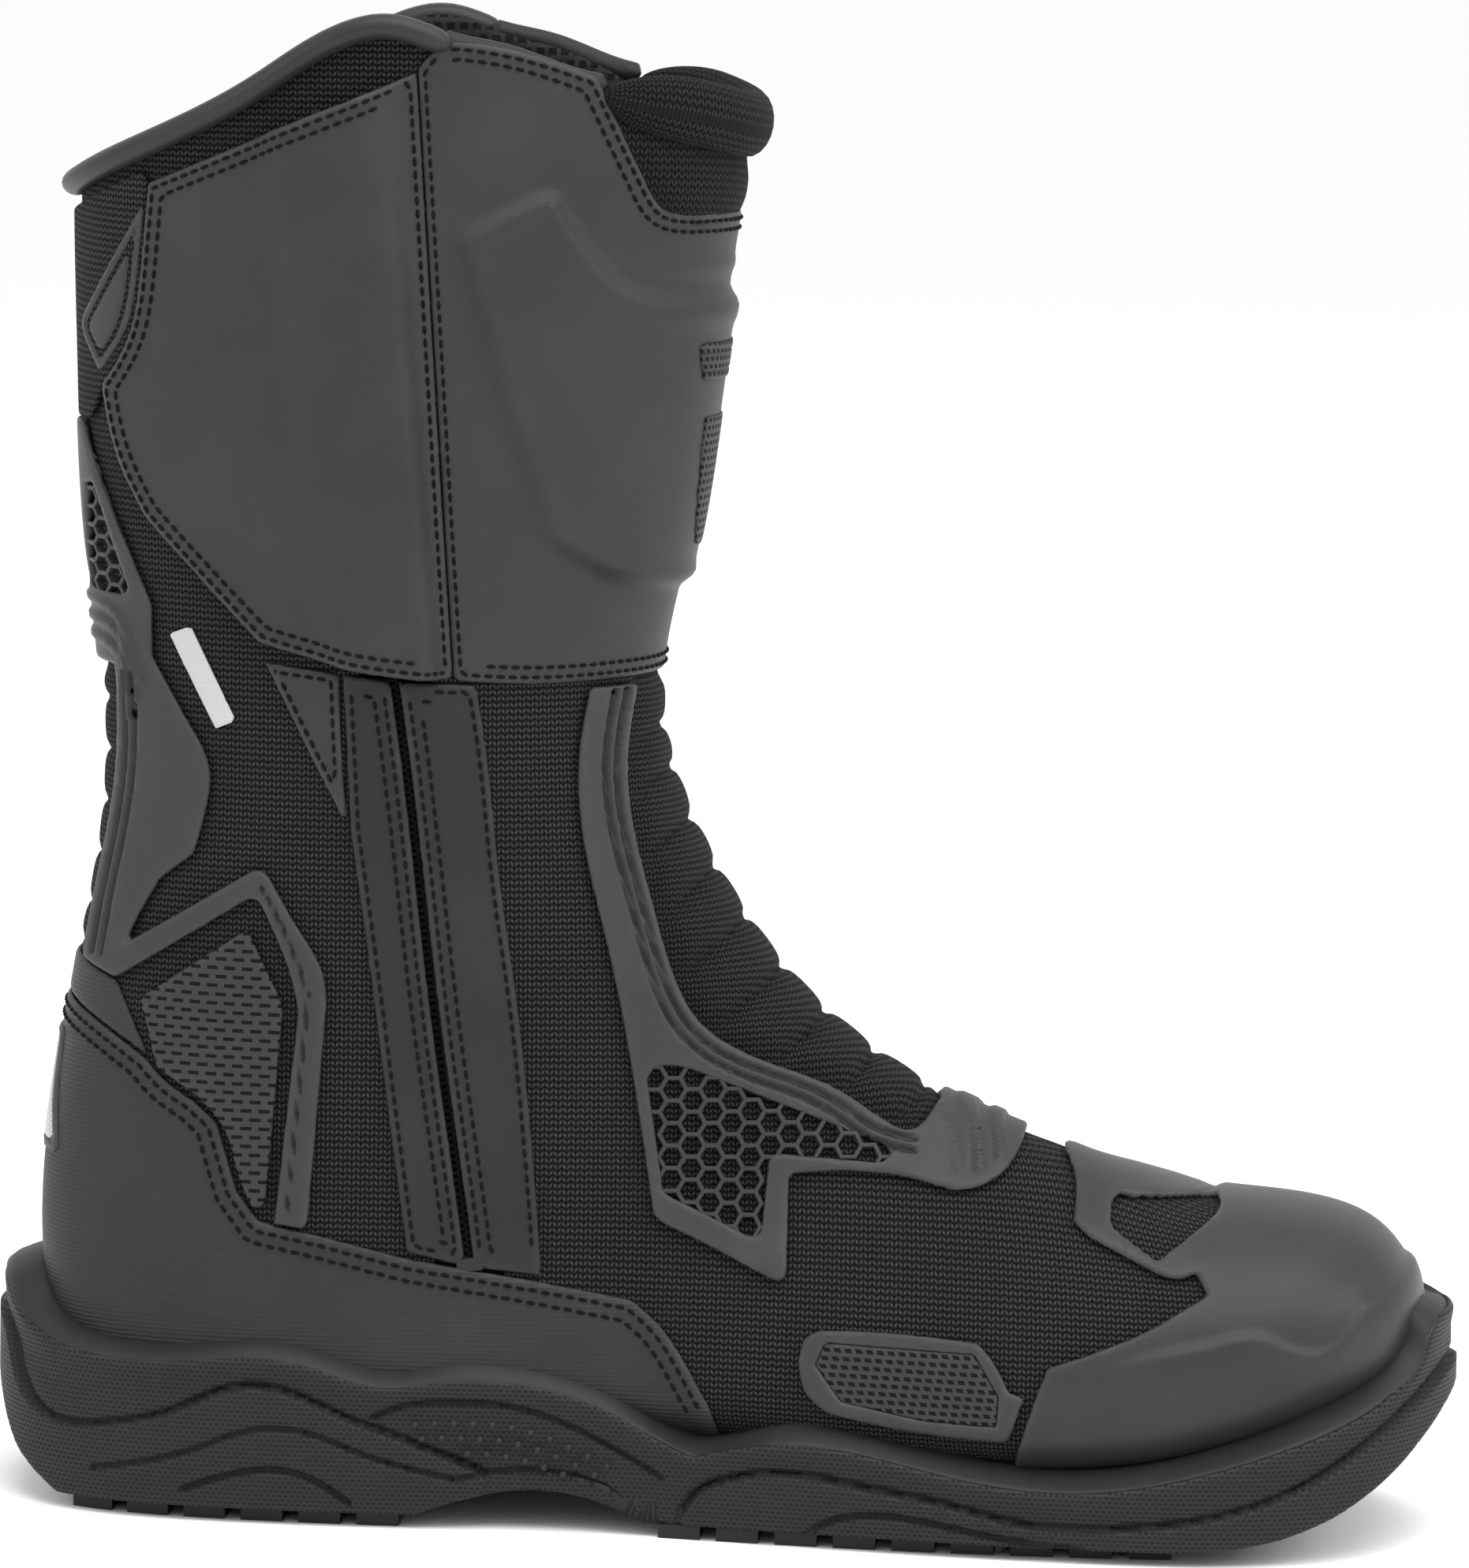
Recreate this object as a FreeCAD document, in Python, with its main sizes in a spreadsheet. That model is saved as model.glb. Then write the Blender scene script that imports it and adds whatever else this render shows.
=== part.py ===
import FreeCAD, Part
import math
import os
import Sketcher
from FreeCAD import Placement, Rotation, Vector

# A left riding boot. Millimetres, +X to the toe, -Y to the inner (zip) side, +Z up, origin on the ground under its middle.

doc = FreeCAD.newDocument("riding_boot")

# ---------------------------------------------------------------- driving dimensions
SIZES = [
    ("outsole_length", 314.0, "heel to toe over the sole"),
    ("collar_height", 321.0, "ground to the highest point of the collar"),
    ("ball_width", 109.0, "sole width across the ball of the foot"),
    ("lining_thick", 1.4, "mesh lining"),
    ("membrane_thick", 0.6, "waterproof bootie"),
    ("padding_thick", 0.8, "padding and stiffeners, pressed"),
    ("textile_thick", 1.2, "woven upper"),
    ("leather_thick", 1.4, "leather and moulded overlays"),
    ("frame_thick", 2.2, "moulded instep and rear frames"),
    ("glue_film", 0.1, "adhesive between layers"),
    ("seam_gap", 0.3, "gap between neighbouring bodies"),
    ("collar_roll_out", 3.0, "how far the collar roll stands out"),
    ("insole_thick", 4.0, "loose insole"),
    ("lug_depth", 3.0, "tread lug depth"),
    ("lug_width", 9.0, "tread lug width along the sole"),
    ("lug_pitch", 12.5, "spacing of the tread lugs"),
    ("lug_inset", 4.0, "lugs stand in from the sole edge"),
    ("shank_length", 76.0, "stiffener under the arch"),
    ("shank_width", 18.0, "stiffener width"),
    ("shank_thick", 2.0, "stiffener thickness"),
    ("zip_slot", 15.0, "width of the slot in the upper for the zip"),
    ("slider_swing", 5.5, "more slot behind the zip below the ankle, where the slider swings as the ankle flexes"),
    ("zip_tape_width", 6.5, "each tape"),
    ("zip_tape_thick", 0.5, "each tape"),
    ("zip_coil_width", 2.6, "each row of coils"),
    ("zip_coil_gap", 0.3, "between the two rows"),
    ("slider_length", 11.0, "zip slider"),
    ("slider_width", 8.0, "zip slider"),
    ("slider_plate", 0.8, "slider plate thickness"),
    ("slider_post", 1.0, "slider bridge thickness"),
    ("puller_length", 17.0, "puller tab"),
    ("puller_width", 5.0, "puller tab"),
    ("puller_thick", 1.0, "puller tab"),
    ("pin_radius", 0.6, "puller pin"),
    ("zip_stop_length", 3.0, "metal zip stops"),
    ("bridge_length", 3.0, "slider bridge, along the zip"),
    ("ear_thick", 0.8, "slider ears that hold the puller pin"),
    ("ear_length", 3.4, "slider ears, along the zip"),
    ("ear_wall", 0.5, "metal over the puller pin"),
    ("pin_clearance", 0.05, "round the puller pin"),
    ("flap_thick", 1.4, "calf flap leather"),
    ("flap_clearance", 1.0, "between the slider's ears and the closed flap"),
    ("hook_thick", 1.2, "hook tape under the flap"),
    ("badge_thick", 1.2, "blank plate behind the flap"),
    ("label_thick", 0.5, "blank sewn label"),
    ("cut_reach", 110.0, "how far the outline cutters reach sideways"),
]
sheet = doc.addObject("Spreadsheet::Sheet", "Sizes")
for row, (alias, value, note) in enumerate(SIZES, start=1):
    sheet.set(f"A{row}", alias)
    sheet.set(f"B{row}", f"{value:g}")
    sheet.set(f"C{row}", note)
    sheet.setAlias(f"B{row}", alias)
doc.recompute()


def size(alias):
    return float(getattr(sheet, alias))


# ---------------------------------------------------------------- grading
# The forms and outlines below are drawn at the size of the standard boot and graded to the sheet's overall sizes.
STANDARD_LENGTH = 314.0
STANDARD_HEIGHT = 321.0
STANDARD_WIDTH = 109.0
SOLE_LINE = 12.0      # the foot stands at this height, which grading keeps
LENGTH_GRADE = size("outsole_length") / STANDARD_LENGTH
WIDTH_GRADE = size("ball_width") / STANDARD_WIDTH
HEIGHT_GRADE = (size("collar_height") - SOLE_LINE) / (STANDARD_HEIGHT - SOLE_LINE)


def grade_x(x):
    return x * LENGTH_GRADE


def grade_y(y):
    return y * WIDTH_GRADE


def grade_z(z):
    return z if z <= SOLE_LINE else SOLE_LINE + (z - SOLE_LINE) * HEIGHT_GRADE


# ---------------------------------------------------------------- the boot form
# Rings from the collar down the leg and along the foot to the toe: the ring's rear (or lower) end, its front
# (or upper) end, its half width, where along it the width is greatest, and how square its rear half is.
RINGS = [
    ((-143.5, 330), (6, 330), 51.0, 0.50, 2.1),
    ((-143.5, 283), (2, 299), 49.5, 0.50, 2.1),
    ((-142.5, 245), (-5, 250), 48.0, 0.50, 2.1),
    ((-140.5, 208), (-11, 207), 46.5, 0.50, 2.1),
    ((-137, 176), (-16, 178), 45.0, 0.50, 2.1),
    ((-137, 150), (-11, 153), 43.8, 0.48, 2.1),
    ((-141, 124), (4, 126), 42.5, 0.45, 2.3),
    ((-145.5, 96), (20, 108), 41.5, 0.42, 2.5),
    ((-148.5, 68), (38, 95), 41.0, 0.38, 2.8),
    ((-147.5, 46), (50, 89), 41.0, 0.34, 3.0),
    ((-140, 28), (60, 85), 41.5, 0.33, 3.0),
    ((-122, 21.5), (67, 82.5), 42.0, 0.33, 3.0),
    ((-95, 20.5), (73, 80.5), 43.0, 0.33, 3.0),
    ((-60, 19), (80, 78), 44.0, 0.33, 3.0),
    ((-20, 16.5), (88, 76), 46.5, 0.32, 3.0),
    ((20, 13.5), (96, 74), 49.0, 0.32, 3.0),
    ((55, 12), (106, 72), 50.0, 0.32, 3.0),
    ((85, 14), (119, 71), 48.5, 0.34, 3.0),
    ((110, 19), (132, 69), 44.0, 0.38, 2.8),
    ((129, 26), (142, 64), 35.0, 0.42, 2.5),
    ((141, 33), (148, 56), 23.0, 0.46, 2.3),
    ((147, 39), (150.5, 49), 10.0, 0.50, 2.1),
]
FRONT_SQUARENESS = 2.1
POINTS_A_SIDE = 15
TIP_GROWTH = 0.7
# the foot's curve: the waist swings outwards (+Y) and the toe inwards
SWING = [(-170, 0), (-60, 1), (-10, 3), (45, 0), (110, -5), (170, -8)]
swing_curve = Part.BSplineCurve()
swing_curve.interpolate([Vector(x, y, 0) for x, y in SWING])


def swing(x):
    """sideways place of the centre line at x (standard millimetres)"""
    low, high = 0.0, 1.0
    for _ in range(30):
        middle = (low + high) / 2
        if swing_curve.value(middle).x < x:
            low = middle
        else:
            high = middle
    return swing_curve.value(low).y


def half_ring(ring):
    """points of the inner side of a ring, from its rear end to its front end, evenly spaced"""
    rear, front, width, widest, squareness = ring
    rear, front = Vector(rear[0], 0, rear[1]), Vector(front[0], 0, front[1])
    along = front - rear
    length = along.Length
    along.normalize()
    behind = widest * length
    dense = []
    steps = 60
    for i in range(steps + 1):
        a = math.pi / 2 * i / steps
        dense.append((behind * (1 - math.cos(a) ** (2 / squareness)), width * math.sin(a) ** (2 / squareness)))
    for i in range(1, steps + 1):
        a = math.pi / 2 * i / steps
        dense.append((behind + (length - behind) * math.sin(a) ** (2 / FRONT_SQUARENESS),
                      width * abs(math.cos(a)) ** (2 / FRONT_SQUARENESS)))
    walked = [0.0]
    for p, q in zip(dense, dense[1:]):
        walked.append(walked[-1] + math.hypot(q[0] - p[0], q[1] - p[1]))
    points = []
    spot = 0
    for i in range(POINTS_A_SIDE + 1):
        target = walked[-1] * i / POINTS_A_SIDE
        while walked[spot + 1] < target and spot < len(walked) - 2:
            spot += 1
        share = (target - walked[spot]) / (walked[spot + 1] - walked[spot])
        s = dense[spot][0] + share * (dense[spot + 1][0] - dense[spot][0])
        y = dense[spot][1] + share * (dense[spot + 1][1] - dense[spot][1])
        points.append(rear + along * s - Vector(0, y, 0))
    return points


def ring_normal(index):
    """how the surface leans along the boot at a ring: (outward share, share towards the toe end)"""
    before, after = RINGS[max(index - 1, 0)], RINGS[min(index + 1, len(RINGS) - 1)]
    middle = [Vector((r[0][0] + r[1][0]) / 2, 0, (r[0][1] + r[1][1]) / 2) for r in (before, after)]
    run = (middle[1] - middle[0]).Length
    slope = (after[2] - before[2]) / run
    return 1 / math.hypot(1, slope), -slope / math.hypot(1, slope)


def ring_points(index, offset):
    """a ring's points, all the way round from its rear end, moved outwards by the offset and graded"""
    side = half_ring(RINGS[index])
    rear, front = side[0], side[-1]
    along = (front - rear).normalize()
    onward = Vector(0, 1, 0).cross(along)
    outward, towards_toe = (1.0, 0.0) if index == 0 else ring_normal(index)
    middle = (rear + front) * 0.5
    tip = index == len(RINGS) - 1
    moved = []
    for i, p in enumerate(side):
        if i == 0:
            normal = Vector(along) * -1
        elif i == len(side) - 1:
            normal = Vector(along)
        else:
            normal = (side[i + 1] - side[i - 1]).cross(onward).normalize()
            if normal.dot(p - middle) < 0:
                normal = normal * -1
        if tip:
            # the small ring at the toe's tip grows in proportion, so that it never folds over itself
            moved.append(middle + (p - middle) * (1 + TIP_GROWTH * offset / RINGS[index][2]) + onward * offset)
        else:
            moved.append(p + normal * (offset * outward) + onward * (offset * towards_toe))
    loop = moved + [Vector(p.x, -p.y, p.z) for p in reversed(moved[:-1])]
    return [Vector(grade_x(p.x), grade_y(p.y + swing(p.x)), grade_z(p.z)) for p in loop]


def form_skin(offset):
    """smooth skin through the rings at an offset, in two halves, with its collar and toe ends as wires"""
    whole = Part.BSplineSurface()
    whole.interpolate([ring_points(i, offset) for i in range(len(RINGS))])
    start, end, low, high = whole.bounds()
    faces, collar, toe = [], [], []
    for side in ((low, (low + high) / 2), ((low + high) / 2, high)):
        half = whole.copy()
        half.segment(start, end, *side)
        faces.append(half.toShape())
        collar.append(half.uIso(start).toShape())
        toe.append(half.uIso(end).toShape())
    return faces, Part.Wire(collar), Part.Wire(toe)


def closed_solid(faces):
    shell = Part.makeShell(faces)
    shell.sewShape()
    solid = Part.Solid(shell)
    if solid.Volume < 0:
        solid.reverse()
    return solid


made_forms = {}


def form(*offsets):
    """the boot form at one offset, or the layer between two offsets, made once as a document object"""
    key = tuple(round(offset, 3) for offset in offsets)
    if key not in made_forms:
        skins = [form_skin(offset) for offset in key]
        collar = Part.Face([wire for _, wire, _ in reversed(skins)], "Part::FaceMakerBullseye")
        toes = [Part.Face(wire) for _, _, wire in skins]
        feature = doc.addObject("Part::Feature", "form")
        feature.Label = "form " + " to ".join(f"{offset:g}" for offset in key)
        feature.Shape = closed_solid([face for faces, _, _ in skins for face in faces] + toes + [collar])
        made_forms[key] = feature
    return made_forms[key]


# ---------------------------------------------------------------- levels of the upper, as offsets of the form
LEATHER_OUT = 0.0
LEATHER_IN = LEATHER_OUT - size("leather_thick")
FRAME_OUT = LEATHER_IN + size("frame_thick")
TEXTILE_OUT = LEATHER_IN - size("glue_film")
TEXTILE_IN = TEXTILE_OUT - size("textile_thick")
PADDING_OUT = TEXTILE_IN - size("glue_film")
PADDING_IN = PADDING_OUT - size("padding_thick")
MEMBRANE_OUT = PADDING_IN - size("glue_film")
MEMBRANE_IN = MEMBRANE_OUT - size("membrane_thick")
LINING_OUT = MEMBRANE_IN - size("glue_film")
LINING_IN = LINING_OUT - size("lining_thick")
TAPE_OUT = PADDING_IN + size("zip_tape_thick")
COIL_OUT = TEXTILE_OUT - size("glue_film")
SLIDER_IN = LEATHER_OUT + size("seam_gap")
SLIDER_OUT = SLIDER_IN + size("slider_plate")
PULLER_IN = SLIDER_OUT + size("seam_gap")
PULLER_OUT = PULLER_IN + size("puller_thick")
PIN_HEIGHT = (PULLER_IN + PULLER_OUT) / 2
EAR_OUT = PIN_HEIGHT + size("pin_radius") + size("ear_wall")
FLAP_IN = EAR_OUT + size("flap_clearance")
FLAP_OUT = FLAP_IN + size("flap_thick")
PATCH_OUT = LEATHER_OUT + size("label_thick") + size("glue_film")

# ---------------------------------------------------------------- outlines, in the boot's side view (x, z)
# An outline starts at a corner; a pair is a straight run to the next corner and a list is a smooth curve
# through its points.
FAR_BACK, FAR_FRONT, FAR_BELOW, FAR_ABOVE, FAR_ASIDE = -170, 170, -10, 340, 90
COLLAR_TOP = [(-138, 288), (-121, 296), (-98, 308), (-82, 318), (-70, 321), (-59, 317.5), (-46, 314.5),
              (-29, 309), (-12, 309), (4, 305), (14, 297)]
COLLAR_BASE = [(-138, 280.5), (-121, 288.5), (-98, 300.5), (-82, 310.5), (-70, 313), (-59, 310.3), (-46, 308),
               (-29, 302.5), (-17, 298.5), (-5, 294.5), (14, 286.5)]
ROLL_FRONT = -59          # the rear collar roll ends here, the front binding begins
PAD_REAR = -29            # the front binding ends here, the padded front collar begins
ANKLE_LOW, ANKLE_HIGH = 131, 180    # the flexing part of the leg lies between these heights
ZIP_FOOT, ZIP_HEAD = (-51.4, 55), (-84.2, 301)

OUTLINES = {
    "collar_top_side": [(-150, 281), [*COLLAR_TOP], (FAR_FRONT, 297), (FAR_FRONT, FAR_BELOW), (FAR_BACK, FAR_BELOW),
                        (FAR_BACK, 281)],
    "collar_base_side": [(-150, 273), [*COLLAR_BASE], (FAR_FRONT, 286.5), (FAR_FRONT, FAR_BELOW),
                         (FAR_BACK, FAR_BELOW), (FAR_BACK, 273)],
    "instep_bellows": [(-20, ANKLE_HIGH), [(-21.5, 164), (-20, 150), (-15, 132), (-10, 117), (-5.5, 109), (3.5, 102),
                       (24, 93.5), (34.5, 87), (41.5, 85), (44, 87.5)], (46, 90), (60, 110), (60, ANKLE_HIGH)],
    "rear_bellows": [(-131, ANKLE_HIGH), [(-131, 160), (-133, 146), (-136, 131), (-138, 119)], (FAR_BACK, 119),
                     (FAR_BACK, ANKLE_HIGH)],
    "instep_frame": [(-29, 179), [(-31, 164), (-30, 149), (-24, 124), (-18.5, 99), (-13.5, 70)],
                     [(-12.5, 67), (-10.5, 65.5)], (12.5, 55.2), [(15, 55), (15.8, 57)], (15.3, 76.2),
                     [(28, 76.8), (41.5, 75.4), (50, 73.3)], [(58, 75), (63, 79.5), (65.5, 90)], (66, 110), (46, 110),
                     (46, 90), [(44, 87.5), (41.5, 85), (34.5, 87), (24, 93.5), (3.5, 102), (-5.5, 109), (-10, 117),
                     (-15, 132), (-20, 150), (-21.5, 164), (-20, 179)]],
    "instep_window": [(-15, 96), [(-13.5, 98.5), (-11, 99), (-2, 96.5)], (34, 82.3), [(36.5, 80.5), (34.5, 78.5)],
                      (13, 80.3), [(11.3, 79.8), (10.8, 78)], (10, 65.5), [(9, 63.5), (7, 63.6)], (-9, 71),
                      [(-11, 72.5), (-11.5, 75)]],
    "rear_frame": [(FAR_BACK, 232.5), (-140, 232.5), [(-135, 221.5), (-127, 205.5), (-121.7, 195)], (-121.7, 184),
                   (-112.5, 169.5), [(-108.5, 162), (-109, 152.5), (-111.8, 142.5)], (-119.5, 136.5),
                   [(-123, 130.5), (-127.5, 121.8)], (-99, 139.6), [(-96.8, 140), (-95, 138.7)],
                   [(-88, 127), (-83, 117.5), (-82.4, 112.5)], (-86.2, 63.2), (-93.3, 64.3), (-88.5, 110),
                   [(-89.5, 115), (-96.5, 132.5)], [(-98, 133.8), (-99.7, 133.6)], (-129.5, 114.4),
                   (-140.5, 118), (FAR_BACK, 118)],
    "rear_frame_hollow": [(-131, 181), [(-131, 160), (-133, 146), (-136, 131), (-138, 119)], (-138, 110),
                          (FAR_BACK, 110), (FAR_BACK, 181)],
    "rear_window": [(-138.5, 219), [(-137, 219.5), (-135.5, 217.5)], (-128.2, 200), [(-127.5, 197.5), (-129, 196.5)],
                    (-137, 196.5), [(-138.5, 197), (-139, 199)]],
    "ankle_guard": [(-123.5, 111), (-100.8, 126.6), [(-99.8, 127.2), (-99, 126)], (-92.3, 112.5), (-91.8, 109.5),
                    (-95.2, 68.5), (-97.5, 66.5), [(-101, 74), (-104.5, 84.5), (-110.5, 91)], (-119.5, 96.5)],
    "heel_overlay": [(FAR_BACK, 109), (-143, 108.5), [(-131, 103), (-122.2, 98)], [(-118, 94), (-111.5, 90)],
                     (-106, 85.5), [(-104, 79), (-101.5, 71)], (-96.5, 64.4), (-84.5, 62), (-64, 57.2), (-35, 52.8),
                     (-17, 50), [(-11, 45), (-4.5, 36), (0, 28)], (5, FAR_BELOW), (FAR_BACK, FAR_BELOW)],
    "heel_top_patch": [(FAR_BACK, 117.5), (-141, 117.5), (-130, 114), (-121.8, 98.6), [(-131, 103.5), (-143, 109)],
                       (FAR_BACK, 109.5)],
    "reflective_heel_insert": [(FAR_BACK, 99), (-146.3, 99), [(-147.5, 88), (-146.6, 77)], (FAR_BACK, 77)],
    "toe_guard": [(73, 110), (73, 80.5), [(75.5, 76.5), (76.2, 72), (76, 68.5)], (79.5, 65.8), (95, 59.3),
                  [(99, 58.8), (102.5, 59.8)], (105, 56), [(92, 48.5), (72, 40.5)], [(69, 32), (66, 22)],
                  (64, FAR_BELOW), (FAR_FRONT, FAR_BELOW), (FAR_FRONT, 110)],
    "toe_window": [(84, 71.5), [(85, 72.8), (87, 72.8)], (105.5, 72), [(106.8, 71), (106, 69.5)], (96, 63),
                   [(94.5, 62), (92.5, 62.7)], (85.5, 66.8), [(84.2, 68), (84, 69.5)]],
    "gear_pad": [(23, 45.5), [(40, 45.8), (57, 44.8)], [(59, 43), (64, 35)], (67.3, 34), (64, 24), [(45, 25),
                 (26, 28)], [(21, 32), (19, 39)], (20, 43.5)],
    "shin_panel": [(-56.2, 181.3), (-64.6, 309.5), [(-60.5, 314), (-57, 315.5)], [(-46, 314), (-28, 308.3)],
                   (-17, 284), [(-14.5, 280.5), (-9, 279.2)], (60, 279.2), (60, 180.5), (-24, 180.5),
                   [(-40, 180.3), (-56.2, 181.3)]],
    "calf_flap": [(-56.6, 181.5), (-65, 309), (-122, 284.3), [(-123.6, 267), (-127, 250.5), (-133, 241)],
                  [(-129.5, 227), (-122.5, 214)], (-97, 188.8), [(-80, 184.5), (-56.6, 181.5)]],
    "calf_panel": [(-56.6, 181.5), (-65, 309), (-122, 284.3), [(-123.6, 267), (-127, 250.5), (-133, 241)],
                   [(-129.5, 227), (-122.5, 214)], (-97, 188.8), [(-80, 184.5), (-56.6, 181.5)]],
    "flap_patch": [(-119, 276), (-99, 284.5), (-99, 205), (-119, 223)],
    "front_collar_knit": [(-24, 300.2), [(-17, 298), (-5, 294), (14, 286)], (60, 279.6), (-9, 279.6),
                          [(-14, 281), (-16.6, 284.2)]],
    "rear_collar_knit": [(-124, 286.6), [(-138, 280), (-150, 272.5)], (FAR_BACK, 272), (FAR_BACK, 233.2),
                         (-137, 233.2), (-133.6, 241), [(-127.5, 250.5), (-124.2, 267), (-123, 284.6)]],
    "badge_plate": [(-123.2, 281), (-138.2, 256.5), [(-139.4, 253.5), (-139, 251)], (-134.4, 243.5),
                    [(-128.2, 252), (-124.6, 268)]],
    "sewn_label": [(-118.2, 189), (-113.2, 191), (-102.8, 171.5), (-107.4, 169.5)],
    "zip_gore": [(-96.3, 184.4), (-80.3, 182.5), [(-79.5, 165), (-78.2, 149.5)], (-85.6, 163.5)],
    "zip_strip_rear": [(-79.5, 182.4), (-69.4, 181.2), [(-66.9, 163.5), (-63.8, 138), (-60, 107), (-56, 80),
                       (-52.4, 56)], (-65, 58.8), [(-70, 94), (-74, 124), (-77.6, 149)]],
    "zip_strip_front": [(-67.6, 181), (-51.6, 180.4), [(-49.2, 165), (-46.5, 141), (-42.8, 116), (-39.7, 91),
                        (-36.3, 54.4)], (-50.6, 55.8), [(-54.2, 80), (-58.2, 107), (-62, 138), (-65.1, 163.5)]],
}


# the underside of the form, and outlines that follow it or the tread
FORM_FLOOR = [(-146, 30), (-122, 21.5), (-95, 20.5), (-60, 19), (-20, 16.5), (20, 13.5), (55, 12), (85, 14),
              (110, 19), (129, 26), (141, 33)]
BOARD_RISE = 2.6          # how far the board's edge curls up round the form
TREAD = size("lug_depth")
HEEL_TREAD, BALL_TREAD = (-141, -62), (-13, 102)    # where the sole is flat on the ground
TOE_SPRING = [(124, 5), (137, 11), (148, 19.5), (158, 34)]
SOLE_WAVE = [(-160, 38.5), (-155, 25), (-148, 14), (-140, 9.5), (-128, 8.5), (-113, 11), (-100, 14.5), (-90, 15.5),
             (-80, 13.5), (-64, 9), (-50, 10.5), (-37, 12.5), (-22, 10.5), (-10, 7.5), (2, 9.5), (16, 11.8),
             (34, 11), (52, 9), (72, 7.5), (88, 7), (103, 7), (124, 11), (138, 17), (150, 26.5), (160, 38.5)]


def floor_outline(rise):
    """everything below a line that stands above the form's underside"""
    line = [(x, z + rise) for x, z in FORM_FLOOR]
    return [line[0], line[1:], (FAR_FRONT, line[-1][1] + 20), (FAR_FRONT, FAR_BELOW), (FAR_BACK, FAR_BELOW),
            (FAR_BACK, line[0][1] + 20)]


OUTLINES["board"] = floor_outline(BOARD_RISE)
OUTLINES["insole"] = floor_outline(size("insole_thick") - LINING_IN)
OUTLINES["outsole"] = [(-160, 36), [(-156.5, 24), (-151, 12), (HEEL_TREAD[0], TREAD)], (HEEL_TREAD[1], TREAD),
                       [(-52, TREAD + 3.5), (-37, TREAD + 6), (-23, TREAD + 4), (BALL_TREAD[0], TREAD)],
                       (BALL_TREAD[1], TREAD), [(x, z + 1.5) for x, z in TOE_SPRING], (160, 38.5),
                       SOLE_WAVE[-2::-1]]
OUTLINES["midsole"] = [SOLE_WAVE[0], SOLE_WAVE[1:], (160, 49),
                       [(153, 48), (151, 42), (144, 34), (130, 27.5), (108, 20.5), (88, 16), (71, 15), (50, 17.5),
                        (28, 21.5), (12, 21.5), (-3, 18)],
                       [(-10, 21), (-20, 26.5), (-30, 30), (-43, 32.3), (-55, 32.5)],
                       [(-63, 31), (-69, 30.5), (-83, 34), (-95, 36), (-115, 34.5), (-131, 35), (-142, 38),
                        (-150, 44), (-155, 53)], (-160, 54)]
OUTLINES["heel_counter"] = [(FAR_BACK, 95), (-143, 95), [(-120, 82), (-98, 58), (-86, 32)], (-82, FAR_BELOW),
                            (FAR_BACK, FAR_BELOW)]
OUTLINES["toe_puff"] = [(85, 100), [(88, 70), (84, 40), (78, 22)], (76, FAR_BELOW), (FAR_FRONT, FAR_BELOW),
                        (FAR_FRONT, 100)]
OUTLINES["shin_guard"] = [(-48, 190), (-50, 284), [(-30, 290), (-10, 286)], (60, 278), (60, 190)]

# half of the sole's outline from above, without the swing, from heel to toe
SOLE_PLAN = [(-157, 0), (-154, 17), (-145, 31), (-128, 40.5), (-105, 44.7), (-75, 46.2), (-45, 46.4), (-15, 48.3),
             (15, 51.8), (45, 54), (75, 54.5), (100, 53), (120, 48.5), (138, 38), (150, 22.5), (157, 0)]


def outline_edges(path):
    """edges of an outline as sketch geometry, graded"""
    def point(pair):
        return Vector(grade_x(pair[0]), grade_z(pair[1]), 0)
    edges = []
    here = start = path[0]
    for step in path[1:] + [start]:
        if isinstance(step, list):
            curve = Part.BSplineCurve()
            curve.interpolate([point(pair) for pair in [here] + step])
            edges.append(curve)
            here = step[-1]
        elif step != here:
            edges.append(Part.LineSegment(point(here), point(step)))
            here = step
    return edges


cutters = {}


def side_cutter(name, side):
    """prism of an outline, reaching over the inner ("near"), outer ("far") or both sides of the boot"""
    if (name, side) not in cutters:
        sketch = doc.addObject("Sketcher::SketchObject", f"outline_{name}")
        sketch.Label = f"outline {name} {side}"
        sketch.Placement = Placement(Vector(), Rotation(Vector(1, 0, 0), 90))
        for edge in outline_edges(OUTLINES[name]):
            sketch.addGeometry(edge)
        prism = doc.addObject("Part::Extrusion", f"cutter_{name}")
        prism.Label = f"cutter {name} {side}"
        prism.Base = sketch
        prism.DirMode = "Normal"
        prism.Solid = True
        if side in ("near", "both"):
            prism.setExpression("LengthFwd", "Sizes.cut_reach")
        if side in ("far", "both"):
            prism.setExpression("LengthRev", "Sizes.cut_reach")
        cutters[name, side] = prism
    return cutters[name, side]


parts = []


def keep(feature, label):
    feature.Label = label
    parts.append(feature)
    return feature


def boolean(kind, base, tool, label):
    feature = doc.addObject(f"Part::{kind}", kind.lower())
    feature.Base = base
    feature.Tool = tool
    feature.Label = label
    return feature


def region(label, outline, side="both", within=(), without=()):
    """cutter of an outline, kept inside some other cutters and clear of the rest"""
    cutter = side_cutter(outline, side)
    for number, other in enumerate(within):
        cutter = boolean("Common", cutter, other, f"{label} region within {number}")
    for number, other in enumerate(without):
        cutter = boolean("Cut", cutter, other, f"{label} region without {number}")
    return cutter


def panel(label, level, outline, side="both", within=(), without=(), cut=()):
    """a piece of one level: the layer inside a region, less the tools that cut the piece itself"""
    piece = boolean("Common", form(*level), region(label, outline, side, within, without), f"{label} layer")
    for tool in cut:
        piece = boolean("Cut", piece, tool, f"{label} cut")
    return keep(piece, label)


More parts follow.
